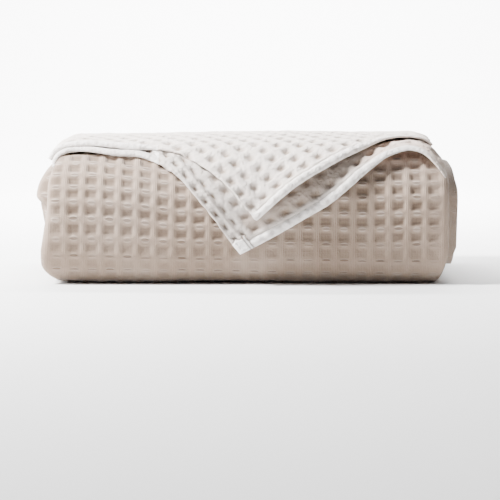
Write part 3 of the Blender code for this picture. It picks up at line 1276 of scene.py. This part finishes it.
    def sheet(self) -> Sheet:
        """The corner's grid, with its weave and its hems."""
        points, flat = self.grid()
        across, along = np.moveaxis(flat, -1, 0)
        zones = self.hem_zones(across, along)
        weave = self.cloth.cells(
            self.hems.cells(zones.from_left, self.cloth.pitch),
            zones.from_right - self.hems.right,
            seed=1.9,
        )
        plain = np.maximum(zones.in_right, zones.square)
        relief = self.cloth.height(weave) * (1 - plain)
        relief = relief * (1 + self.hems.left_relief * zones.in_left)
        puff = self.rolled(zones, across)
        crumple = self.crumple * ripple(5 * across, 5 * along, seed=4.1)
        crumple = crumple + 0.5 * self.crumple * ripple(13 * across, 13 * along, seed=5.2)
        points = points + surface_normals(points) * (relief + crumple + puff)[..., None]
        narrowed = zones.from_roll * (1 + self.hems.fade_width * self.hems.faded(across))
        hems = np.stack([zones.from_left_hem, narrowed], axis=-1)
        return Sheet(points, weave, hems, self.thickness(zones, puff))


# The finish


class Value:
    """A shader socket that takes part in Python expressions."""

    def __init__(self, graph: Graph, socket: bpy.types.NodeSocket) -> None:
        """Wraps a socket of a graph."""
        self.graph = graph
        self.socket = socket

    def _math(self, operation: str, *values: Value | float) -> Value:
        """A Math node."""
        return self.graph.node("ShaderNodeMath", {"operation": operation}, values)

    def __add__(self, other: Value | float) -> Value:
        """The sum."""
        return self._math("ADD", self, other)

    __radd__ = __add__

    def __sub__(self, other: Value | float) -> Value:
        """The difference."""
        return self._math("SUBTRACT", self, other)

    def __rsub__(self, other: float) -> Value:
        """The difference, the other way round."""
        return self._math("SUBTRACT", other, self)

    def __mul__(self, other: Value | float) -> Value:
        """The product."""
        return self._math("MULTIPLY", self, other)

    __rmul__ = __mul__

    def __truediv__(self, other: Value | float) -> Value:
        """The quotient."""
        return self._math("DIVIDE", self, other)

    def __rtruediv__(self, other: float) -> Value:
        """The quotient, the other way round."""
        return self._math("DIVIDE", other, self)

    def __abs__(self) -> Value:
        """The absolute value."""
        return self._math("ABSOLUTE", self)

    def __floor__(self) -> Value:
        """The last whole number."""
        return self._math("FLOOR", self)

    def fraction(self) -> Value:
        """The part past the last whole number."""
        return self._math("FRACT", self)

    def wave(self) -> Value:
        """A wave between 0 and 1 with its top at each whole number."""
        return self._math("COSINE", self * math.tau) * 0.5 + 0.5

    def away(self) -> Value:
        """How far this is from the nearest whole number."""
        return 0.5 - abs(self.fraction() - 0.5)

    def ramp(self, low: float, high: float) -> Value:
        """0 up to low, 1 from high, smooth between."""
        settings = {"interpolation_type": "SMOOTHSTEP"}
        return self.graph.node("ShaderNodeMapRange", settings, (self, low, high, 0.0, 1.0))


class Graph:
    """The nodes of one material."""

    def __init__(self, name: str) -> None:
        """Starts a material with a Principled BSDF."""
        self.material = bpy.data.materials.new(name)
        self.material.use_nodes = True
        self.tree = self.material.node_tree
        self.shader = self.tree.nodes["Principled BSDF"]

    def node(
        self,
        kind: str,
        settings: dict[str, object] | None = None,
        inputs: Sequence[object] | dict[object, object] = (),
        output: int | str = 0,
    ) -> Value:
        """Adds a node.

        Args:
            kind: Its type.
            settings: Its own properties, set first.
            inputs: Values or links of its sockets, in order or by key.
            output: The socket that is returned.

        Returns:
            One of its outputs.
        """
        made = self.tree.nodes.new(kind)
        for name, setting in (settings or {}).items():
            setattr(made, name, setting)
        pairs = inputs.items() if isinstance(inputs, dict) else enumerate(inputs)
        for key, given in pairs:
            if isinstance(given, Value):
                self.tree.links.new(given.socket, made.inputs[key])
            else:
                made.inputs[key].default_value = given
        return Value(self, made.outputs[output])

    def mix(self, share: Value, first: object, second: object) -> Value:
        """A mix of two colours, through the Mix node's sockets for colours.

        Args:
            share: 0 for the first, 1 for the second.
            first: The first colour, or a link to it.
            second: The second.

        Returns:
            The mixed colour.
        """
        factor, first_colour, second_colour, result = 0, 6, 7, 2
        settings = {"data_type": "RGBA", "blend_type": "MIX"}
        inputs = {factor: share, first_colour: first, second_colour: second}
        return self.node("ShaderNodeMix", settings, inputs, result)

    def coordinates(self, uv_map: str) -> tuple[Value, Value]:
        """The two coordinates of a UV map."""
        place = self.node("ShaderNodeUVMap", {"uv_map": uv_map})
        split = self.node("ShaderNodeSeparateXYZ", None, (place,))
        return split, Value(self, split.socket.node.outputs[1])

    def place(self, axis: int) -> Value:
        """The object's own coordinate on one axis: 0 across, 1 front to back, 2 up."""
        place = self.node("ShaderNodeTexCoord", None, (), "Object")
        return self.node("ShaderNodeSeparateXYZ", None, (place,), axis)

    def noise(self, scale: float, detail: float) -> Value:
        """Noise over the object's own coordinates."""
        place = self.node("ShaderNodeTexCoord", None, (), "Object")
        sockets = {"Vector": place, "Scale": scale, "Detail": detail}
        return self.node("ShaderNodeTexNoise", None, sockets)

    def feed(self, socket: str, value: Value | float) -> None:
        """Links a value to a socket of the shader, or sets a constant on it."""
        if isinstance(value, Value):
            self.tree.links.new(value.socket, self.shader.inputs[socket])
        else:
            self.shader.inputs[socket].default_value = value


@dataclass(frozen=True)
class Marks:
    """What a place on the cloth is, as shader values from 0 to 1 but for the first two.

    Attributes:
        cell_x: Its place across the weave, in cells.
        cell_y: Its place along the weave, in cells.
        warp: 1 on a ridge that runs along.
        weft: 1 on a ridge that runs across.
        chance: A number of its cell's own.
        plain: 1 in a hem of plain cloth.
        square: 1 in the square where the hems cross.
        painted_shade: 1 beside the right hem, under the other corner's, where shade is painted.
        eye: 1 in a slit of the weave, which is painted dark as painted shade.
        lips: 1 beside it, where a highlight is painted.
        stitch: 1 on a stitch.
        groove: Over 0 where stitches pull the cloth in, painted dark as painted shade.
        opened: How open the hollows are: less where the pack presses them flat.
        painted_light_zone: 1 high up at the right, where the lower corner's edge is raised; light
            is painted on there, and no painted shade.
    """

    cell_x: Value
    cell_y: Value
    warp: Value
    weft: Value
    chance: Value
    plain: Value
    square: Value
    painted_shade: Value
    eye: Value
    lips: Value
    stitch: Value
    groove: Value
    opened: Value
    painted_light_zone: Value


# Its colours hold painted shade and painted light besides the yarn's own colour
@dataclass(frozen=True)
class WaffleCotton:
    """The finish of one side of the cloth: its threads, hollows, eyes and stitched hems.

    Attributes:
        name: Its name.
        cloth: The cloth.
        hems: The hems of its corners.
        ridge: The colour of the ridges.
        hollow: The colour deep in the hollows, darker than the ridges as painted shade; it is also
            used for the other painted shade and for the mottle of plain hems.
        eye: The colour inside the short slits in the weft ridges and in the grooves: painted shade.
        pale: The colour of plain hems, partly painted light, of stitches, and of the loops beside
            the slits as a painted highlight.
        painted_end_shade: The colour painted at the pack's right-hand end, where less light falls:
            painted shade.
        eyes_show: How much the slits show on this side.
        low_painted_shade: How much darker the cloth is painted low down, where its hollows are
            pressed flat: painted shade, darker towards the bottom.
        crumple: How crumpled it is between the threads and the cells.
        painted_shade: How much darker it is painted beside its right hem, where another corner
            hangs over it: painted shade.
        painted_light: How much lighter it is painted under the raised right edges, where they cast
            shade: painted light.
        painted_light_colour: The warm colour of that painted light.
        threads: How many threads there are to a cell.
        roughness: Of the yarn.
        stitch_pitch: From one stitch to the next.
        shade_start: Between which distances from the right hem's edge that painted shade starts.
        shade_end: Between which it ends.
        shade_left: Between which distances from the left hem's edge it starts.
        arch_across: Between which places across the painted light starts.
        arch_up: Between which heights it starts.
        opening: Between which heights the hollows open.
        end_across: Between which places across the painted shade of the right-hand end starts.
    """

    name: str
    cloth: Cloth
    hems: Hems
    ridge: tuple[float, ...]
    hollow: tuple[float, ...]
    eye: tuple[float, ...]
    pale: tuple[float, ...]
    painted_end_shade: tuple[float, ...]
    eyes_show: float
    low_painted_shade: float
    crumple: float
    painted_shade: float = 0.0
    painted_light: float = 0.6
    painted_light_colour: tuple[float, ...] = (0.64, 0.45, 0.35, 1.0)
    threads: int = 11
    roughness: float = 0.92
    stitch_pitch: float = 0.0034
    shade_start: tuple[float, float] = (0.009, 0.015)
    shade_end: tuple[float, float] = (0.030, 0.040)
    shade_left: tuple[float, float] = (0.016, 0.022)
    arch_across: tuple[float, float] = (0.090, 0.120)
    arch_up: tuple[float, float] = (0.094, 0.110)
    opening: tuple[float, float] = (0.022, 0.060)
    end_across: tuple[float, float] = (0.146, 0.163)

    def build(self) -> bpy.types.Material:
        """The material."""
        graph = Graph(self.name)
        marks = self.marks(graph)
        bump = {"Strength": 1.0, "Distance": 0.0006, "Height": self.relief(graph, marks)}
        graph.feed("Base Color", self.colour(graph, marks))
        graph.feed("Normal", graph.node("ShaderNodeBump", None, bump))
        graph.feed("Roughness", self.roughness)
        graph.feed("Sheen Weight", 0.2)
        graph.feed("Sheen Roughness", 0.5)
        graph.feed("Specular IOR Level", 0.2)
        return graph.material

    def marks(self, graph: Graph) -> Marks:
        """What each place on the cloth is."""
        across, along = graph.coordinates("weave")
        from_left, from_right = graph.coordinates("hems")
        cell_x, cell_y = across / self.cloth.pitch, along / self.cloth.pitch
        square = self.square(from_left, from_right)
        plain = self.plain_hem(from_right, square)
        chance = self.chance(graph, cell_x, cell_y)
        eye, lips = self.eyes(cell_x, cell_y, 1 - plain, chance)
        stitch, groove = self.stitches(along, from_left, from_right)
        # Where light is painted on, high up at the right under the raised edges
        painted_light_zone = graph.place(0).ramp(*self.arch_across) * graph.place(2).ramp(*self.arch_up)
        # Painted shade beside the right hem, under the other corner, but none where light is
        # painted on
        painted_shade = from_right.ramp(*self.shade_start) * (1 - from_right.ramp(*self.shade_end))
        painted_shade = painted_shade * from_left.ramp(*self.shade_left) * (1 - painted_light_zone)
        return Marks(
            cell_x,
            cell_y,
            warp=1 - cell_x.away().ramp(self.cloth.warp.top, self.cloth.warp.foot),
            weft=1 - cell_y.away().ramp(self.cloth.weft.top, self.cloth.weft.foot),
            chance=chance,
            plain=plain,
            square=square,
            painted_shade=painted_shade,
            eye=eye,
            lips=lips,
            stitch=stitch,
            groove=groove,
            opened=graph.place(2).ramp(*self.opening) * 0.8 + 0.2,
            painted_light_zone=painted_light_zone,
        )

    def depth(self, marks: Marks) -> Value:
        """1 deep in a hollow, 0 on a ridge and in plain cloth."""
        return (1 - marks.warp) * (1 - marks.weft) * (1 - marks.plain)

    def colour(self, graph: Graph, marks: Marks) -> Value:
        """The colour of the yarn, and of the light that the hollows and hems hold."""
        # Painted shade deep in the hollows, uneven from cell to cell
        sunk = self.depth(marks) * marks.opened * (marks.chance * 0.35 + 0.65)
        # Painted shade low down, where the hollows are pressed flat: darker towards the bottom
        sunk = sunk + (1 - marks.opened) * self.low_painted_shade
        worn = graph.noise(26.0, 3.0).ramp(0.40, 0.75)
        mottled = graph.noise(210.0, 2.0).ramp(0.42, 0.68)
        # Painted shade at the pack's right-hand end, where less light falls
        end_shade_zone = graph.place(0).ramp(*self.end_across)
        # Painted light under the raised right edges, on the woven cloth
        painted_light_on_weave = marks.painted_light_zone * (1 - marks.plain)
        layers = (
            # Painted shade in the hollows
            (sunk, self.hollow),
            # Painted shade beside the right hem
            (marks.painted_shade * self.painted_shade, self.hollow),
            # Paler plain hems and tip square: partly the doubled cloth, partly painted light
            (marks.plain * 0.7 + marks.square * 0.3, self.pale),
            (marks.plain * (1 - marks.square) * mottled * 0.30, self.hollow),
            # Painted light under the raised right edges
            (painted_light_on_weave * self.painted_light, self.painted_light_colour),
            # Painted highlight on the loops beside the slits; the stitches are pale thread
            (marks.lips * marks.opened * 0.5 * self.eyes_show + marks.stitch * 0.4, self.pale),
            # Painted shade in the slits and grooves
            (marks.eye * 0.85 * self.eyes_show + marks.groove * 0.25, self.eye),
            (worn * 0.15, self.pale),
            # Painted shade at the right-hand end
            (end_shade_zone * 0.75, self.painted_end_shade),
        )
        colour = self.ridge
        for share, tone in layers:
            colour = graph.mix(share, colour, tone)
        return colour

    def relief(self, graph: Graph, marks: Marks) -> Value:
        """The height of threads, slits, stitches and creases, in shares of the bump's depth."""
        relief = self.thread_relief(marks) * (1 - marks.plain) * 0.30
        relief = relief + (marks.lips * marks.opened * 0.6 - marks.eye * 1.2) * self.eyes_show
        relief = relief - self.depth(marks) * marks.opened * 0.5
        relief = relief + (marks.cell_x * self.threads).wave() * marks.plain * 0.25
        relief = relief + marks.stitch * 0.6 - marks.groove * 0.6
        return relief + graph.noise(900.0, 3.0) * 0.5 + graph.noise(320.0, 5.0) * self.crumple

    def plain_hem(self, from_right: Value, square: Value) -> Value:
        """1 where the hem is plain cloth, 0 in the waffle weave."""
        woven = from_right.ramp(self.hems.right - 0.0006, self.hems.right + 0.0008)
        return 1 - woven * (1 - square)

    def square(self, from_left: Value, from_right: Value) -> Value:
        """1 in the square where the two hems cross, 0 outside."""
        edges = (self.hems.square - 0.0006, self.hems.square + 0.0006)
        return (1 - from_left.ramp(*edges)) * (1 - from_right.ramp(*edges))

    def thread_relief(self, marks: Marks) -> Value:
        """The threads: long floats along the ridges, plain weave in the hollows."""
        warp, weft = marks.warp, marks.weft
        by_warp = (marks.cell_x * self.threads).wave()
        by_weft = (marks.cell_y * self.threads).wave()
        on_weft = by_weft * weft * (1 - warp)
        return by_warp * warp + on_weft + by_warp * by_weft * (1 - warp) * (1 - weft)

    def chance(self, graph: Graph, cell_x: Value, cell_y: Value) -> Value:
        """A number from 0 to 1, its own for each cell.

        Args:
            graph: The material's nodes.
            cell_x: Places across the weave, in cells.
            cell_y: Places along it.

        Returns:
            The number.
        """
        column, row = math.floor(cell_x), math.floor(cell_y + 0.5)
        place = graph.node("ShaderNodeCombineXYZ", None, (column, row, 0.0))
        return graph.node("ShaderNodeTexWhiteNoise", {"noise_dimensions": "2D"}, {"Vector": place})

    def eyes(
        self, cell_x: Value, cell_y: Value, woven: Value, chance: Value
    ) -> tuple[Value, Value]:
        """The slit in the middle of each weft ridge where its floats part, and its two lips.

        Args:
            cell_x: Places across the weave, in cells.
            cell_y: Places along it.
            woven: 0 in plain cloth.
            chance: A number of each cell's own, which moves and shapes its slit.

        Returns:
            1 in the slit, and 1 round it.
        """
        x = (cell_x.fraction() - 0.5) / 0.27
        y = (cell_y + 0.5).fraction() - 0.5 + (chance - 0.5) * 0.08
        narrow, wide = y / (chance * 0.04 + 0.045), y / 0.17
        slit = (1 - (x * x + narrow * narrow)).ramp(0.0, 0.5) * (chance * 0.6 + 0.4)
        lips = (1 - (x * x + wide * wide)).ramp(0.0, 0.6)
        return slit * woven, lips * woven

    def stitches(
        self, along: Value, from_left: Value, from_right: Value
    ) -> tuple[Value, Value]:
        """The stitches beside the tip, and the grooves that they and the left seam pull in.

        Args:
            along: Places along the weave.
            from_left: How far from the left hem's edge.
            from_right: How far from the roll's edge.

        Returns:
            1 on a stitch, and over 0 in a groove.
        """
        seam = abs(from_left - (self.hems.square - 0.0010))
        near_tip = 1 - from_right.ramp(self.hems.square, self.hems.square + 0.001)
        dash = (along / self.stitch_pitch).away().ramp(0.12, 0.22)
        stitch = dash * (1 - seam.ramp(0.0004, 0.0007)) * near_tip
        groove = (1 - abs(seam - 0.0016).ramp(0.0003, 0.0010)) * near_tip * 2.5
        ledge = (1 - abs(from_right - self.hems.square).ramp(0.0003, 0.0014)) * 1.6
        ledge = ledge * (1 - from_left.ramp(self.hems.square, self.hems.square + 0.001))
        groove = groove + ledge
        inner = abs(from_left - (self.hems.left + 0.0006))
        groove = groove + (1 - inner.ramp(0.0003, 0.0012)) * (1 - near_tip)
        return stitch, groove


# The studio


@dataclass(frozen=True)
class Lamp:
    """A soft square light.

    Attributes:
        name: Its name.
        place: Where it stands.
        target: What it faces.
        size: Of its side.
        power: In watts.
    """

    name: str
    place: tuple[float, float, float]
    target: tuple[float, float, float]
    size: float
    power: float

    def build(self) -> None:
        """Adds the light."""
        data = bpy.data.lights.new(self.name, "AREA")
        data.shape = "SQUARE"
        data.size = self.size
        data.energy = self.power
        lamp = bpy.data.objects.new(self.name, data)
        lamp.location = self.place
        facing = Vector(self.target) - Vector(self.place)
        lamp.rotation_euler = facing.to_track_quat("-Z", "Y").to_euler()
        bpy.context.scene.collection.objects.link(lamp)


@dataclass(frozen=True)
class Studio:
    """A pale floor that sweeps up behind, soft lights and the camera.

    Attributes:
        distance: From the camera to the blanket.
        elevation: Of the camera, in degrees.
        target_height: The height that it looks at.
        front: How far the blanket's front stands before its middle.
        metres_per_pixel: At the blanket's front, in the photograph.
        picture: The photograph's side in pixels.
        shift: Where the blanket lies in the picture, as shares of its side.
        floor_front: Where the floor starts, front to back.
        wall: Where the wall stands.
        wall_height: How high it is.
        wall_radius: Of the sweep between the floor and the wall.
        floor_width: The width of both.
        sweep_steps: How many steps the sweep has.
        floor_colour: Their colour.
        sky_strength: How much light comes from all round.
        lamps: The lights.
    """

    distance: float = 1.94
    elevation: float = 3.0
    target_height: float = 0.066
    front: float = 0.14
    metres_per_pixel: float = 0.00086
    picture: int = 500
    shift: tuple[float, float] = (0.003, -0.098)
    floor_front: float = -3.0
    wall: float = 2.6
    wall_height: float = 4.0
    wall_radius: float = 0.9
    floor_width: float = 8.0
    sweep_steps: int = 22
    floor_colour: tuple[float, ...] = (0.78, 0.78, 0.78, 1.0)
    sky_strength: float = 0.15
    lamps: tuple[Lamp, ...] = (
        Lamp("key", (-0.90, -0.26, 1.00), (0.0, 0.0, 0.06), 0.32, 102.0),
        Lamp("side", (-1.4, -0.20, 0.6), (-0.12, 0.0, 0.06), 0.7, 22.0),
        Lamp("backdrop", (0.0, 1.2, 1.6), (0.0, 2.4, 0.2), 1.6, 430.0),
    )

    def camera(self) -> None:
        """The camera, at the photograph's angle, far off with a long lens."""
        angle = math.radians(self.elevation)
        target = Vector((0, 0, self.target_height))
        place = target + self.distance * Vector((0, -math.cos(angle), math.sin(angle)))
        data = bpy.data.cameras.new("camera")
        camera = bpy.data.objects.new("camera", data)
        bpy.context.scene.collection.objects.link(camera)
        camera.location = place
        camera.rotation_euler = (target - place).to_track_quat("-Z", "Y").to_euler()
        to_front = self.distance - self.front
        data.lens = data.sensor_width * to_front / self.metres_per_pixel / self.picture
        data.shift_x, data.shift_y = self.shift
        bpy.context.scene.camera = camera

    def floor(self) -> None:
        """The floor and the wall behind it, in one sweep."""
        turns = [math.pi / 2 * step / self.sweep_steps for step in range(self.sweep_steps + 1)]
        radius, start = self.wall_radius, self.wall - self.wall_radius
        sweep = [(start + radius * math.sin(t), radius * (1 - math.cos(t))) for t in turns]
        profile = [(self.floor_front, 0.0), *sweep, (self.wall, self.wall_height)]
        steps = len(profile) - 1
        bm = bmesh.new()
        bmesh.ops.create_grid(bm, x_segments=1, y_segments=steps, size=0.5)
        for vertex in bm.verts:
            place = profile[round((vertex.co.y + 0.5) * steps)]
            vertex.co = Vector((vertex.co.x * self.floor_width, *place))
        mesh = bpy.data.meshes.new("floor")
        bm.to_mesh(mesh)
        bm.free()
        mesh.shade_smooth()
        graph = Graph("pale_floor")
        graph.feed("Base Color", self.floor_colour)
        graph.feed("Roughness", 0.9)
        mesh.materials.append(graph.material)
        floor = bpy.data.objects.new("floor", mesh)
        bpy.context.scene.collection.objects.link(floor)

    def build(self) -> None:
        """Everything round the blanket."""
        self.camera()
        self.floor()
        for lamp in self.lamps:
            lamp.build()
        world = bpy.data.worlds.new("studio")
        world.use_nodes = True
        back = world.node_tree.nodes["Background"]
        back.inputs["Color"].default_value = (1, 1, 1, 1)
        back.inputs["Strength"].default_value = self.sky_strength
        bpy.context.scene.world = world


# The upper corner's left edge is turned under so flat that its cells start beside it
UPPER_HEMS = Hems(
    cell_places=(-0.0100, 0.0055, 0.0190, 0.0346), cell_numbers=(-1.5, -0.5, 0.5, 1.5)
)

# The two corners' front edges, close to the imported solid's
LOWER_EDGES = (
    Edge(-0.179, 0.004, 0.000),
    Edge(-0.171, 0.004, 0.000),
    Edge(-0.163, 0.004, 0.000),
    Edge(-0.154, 0.003, 0.001),
    Edge(-0.120, 0.014, 0.001),
    Edge(-0.089, 0.020, 0.000),
    Edge(-0.073, 0.032, 0.000),
    Edge(-0.057, 0.049, 0.001),
    Edge(-0.044, 0.067, 0.001),
    Edge(-0.032, 0.084, 0.001),
    Edge(-0.020, 0.104, 0.001),
    Edge(-0.007, 0.125, 0.002),
    Edge(0.011, 0.114, 0.002),
    Edge(0.030, 0.102, 0.002),
    Edge(0.050, 0.088, 0.002),
    Edge(0.070, 0.074, 0.002),
    Edge(0.103, 0.046, 0.005),
    Edge(0.124, 0.034, 0.010),
    Edge(0.141, 0.031, 0.012),
    Edge(0.158, 0.037, 0.008),
    Edge(0.165, 0.044, 0.005),
    Edge(0.171, 0.047, 0.002),
)
UPPER_EDGES = (
    Edge(-0.180, 0.000, 0.000),
    Edge(-0.160, 0.000, 0.000),
    Edge(-0.138, 0.004, 0.001),
    Edge(-0.106, 0.011, 0.000),
    Edge(-0.075, 0.015, 0.000),
    Edge(-0.062, 0.021, 0.000),
    Edge(-0.050, 0.030, 0.000),
    Edge(-0.022, 0.058, 0.002),
    Edge(0.007, 0.101, 0.003),
    Edge(0.035, 0.076, 0.006),
    Edge(0.065, 0.051, 0.006),
    Edge(0.095, 0.029, 0.003),
    Edge(0.118, 0.015, 0.002),
    Edge(0.136, 0.008, 0.001),
    Edge(0.149, 0.007, 0.001),
    Edge(0.162, 0.007, 0.000),
)


def face_finish(cloth: Cloth, hems: Hems) -> WaffleCotton:
    """The side of the cloth that faces outward round the pack, with the deeper hollows."""
    return WaffleCotton(
        "waffle_cotton_face",
        cloth,
        hems,
        # Much darker than the reverse: partly the face's own colour, partly painted shade for the
        # front, which faces away from the light above
        ridge=(0.302, 0.226, 0.174, 1.0),
        hollow=(0.18, 0.127, 0.091, 1.0),
        eye=(0.12, 0.08, 0.055, 1.0),
        pale=(0.52, 0.43, 0.365, 1.0),
        painted_end_shade=(0.29, 0.217, 0.168, 1.0),
        eyes_show=1.0,
        low_painted_shade=0.55,
        crumple=0.7,
    )


def reverse_finish(
    cloth: Cloth, hems: Hems, name: str, tone: float, painted_shade: float
) -> WaffleCotton:
    """The side that the turned-over corners show, paler and with small dimples.

    Args:
        cloth: The cloth.
        hems: Its hems.
        name: The finish's name.
        tone: How pale this corner is painted; the lower corner, under the upper one, is painted
            darker as painted shade.
        painted_shade: How much painted shade it has under the other corner's hem.

    Returns:
        The finish.
    """
    return WaffleCotton(
        name,
        cloth,
        hems,
        # The tone paints the lower corner darker than the upper one: painted shade
        ridge=(0.72 * tone, 0.645 * tone, 0.590 * tone, 1.0),
        hollow=(0.34 * tone, 0.255 * tone, 0.195 * tone, 1.0),
        eye=(0.24, 0.175, 0.135, 1.0),
        pale=(0.94, 0.90, 0.87, 1.0),
        painted_end_shade=(0.40, 0.320, 0.260, 1.0),
        eyes_show=0.0,
        low_painted_shade=0.2,
        crumple=3.6,
        painted_shade=painted_shade,
        # Painted light high up at the right, on the lower corner only
        painted_light=0.8 * painted_shade,
    )


def build_strip(pack: Pack, cloth: Cloth, material: bpy.types.Material) -> None:
    """Args:
        pack: The pack that it is folded into.
        cloth: Its cloth, as the outside shows it.
        material: Its finish.
    """
    strip = Strip(pack, cloth, pack.route())
    for part in strip.parts():
        piece = strip.sheet(part).build(part.name, material)
        declare(piece, (pack.plies * PLY_WIDTH, part.end - part.start))


def build_corners(pack: Pack, cloth: Cloth, hems: Hems) -> None:
    """Args:
        pack: The pack that they lie on.
        cloth: Their cloth, as its other side shows it.
        hems: The hems that their finish marks.
    """
    lower = Corner(
        "lower_corner", pack, cloth, LOWER_EDGES, pack.wide_fold, pack.lower_corner_out,
        -0.045, "front_fold", hems=hems,
    )
    upper = Corner(
        "upper_corner", pack, cloth, UPPER_EDGES, pack.narrow_fold, pack.upper_corner_out,
        -0.180, "lower_corner", under=lower, hems=UPPER_HEMS, seamed=False,
    )
    # The lower corner lies under the upper one: it is painted darker, with painted shade beside its
    # right hem and painted light high up at the right
    looks = ((lower, 0.80, 0.75), (upper, 1.0, 0.0))
    for corner, tone, painted_shade in looks:
        name = f"waffle_cotton_{corner.name}"
        finish = reverse_finish(cloth, hems, name, tone, painted_shade)
        piece = corner.sheet().build(corner.name, finish.build())
        declare(piece, (PLY_WIDTH, CORNER_LENGTH))


def declare(piece: bpy.types.Object, flat: tuple[float, float]) -> None:
    """Hides the imported solid, puts a piece of the cloth on the body and logs the size of its flat
    cloth.

    Args:
        piece: The piece.
        flat: The width and the length of its flat cloth.
    """
    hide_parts(NODE)
    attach(piece, BODY)
    log.info("%s: %.3f by %.3f m of cloth", piece.name, *flat)


def main() -> None:
    """Builds the blanket's pieces and the studio."""
    pack, hems = Pack(), Hems()
    face = Cloth()
    reverse = Cloth(
        relief=0.0028, warp=Ridges(0.08, 0.42), weft=Ridges(0.10, 0.42), middle_height=0.6
    )
    build_strip(pack, face, face_finish(face, hems).build())
    build_corners(pack, reverse, hems)
    Studio().build()


if __name__ == "__main__":
    main()
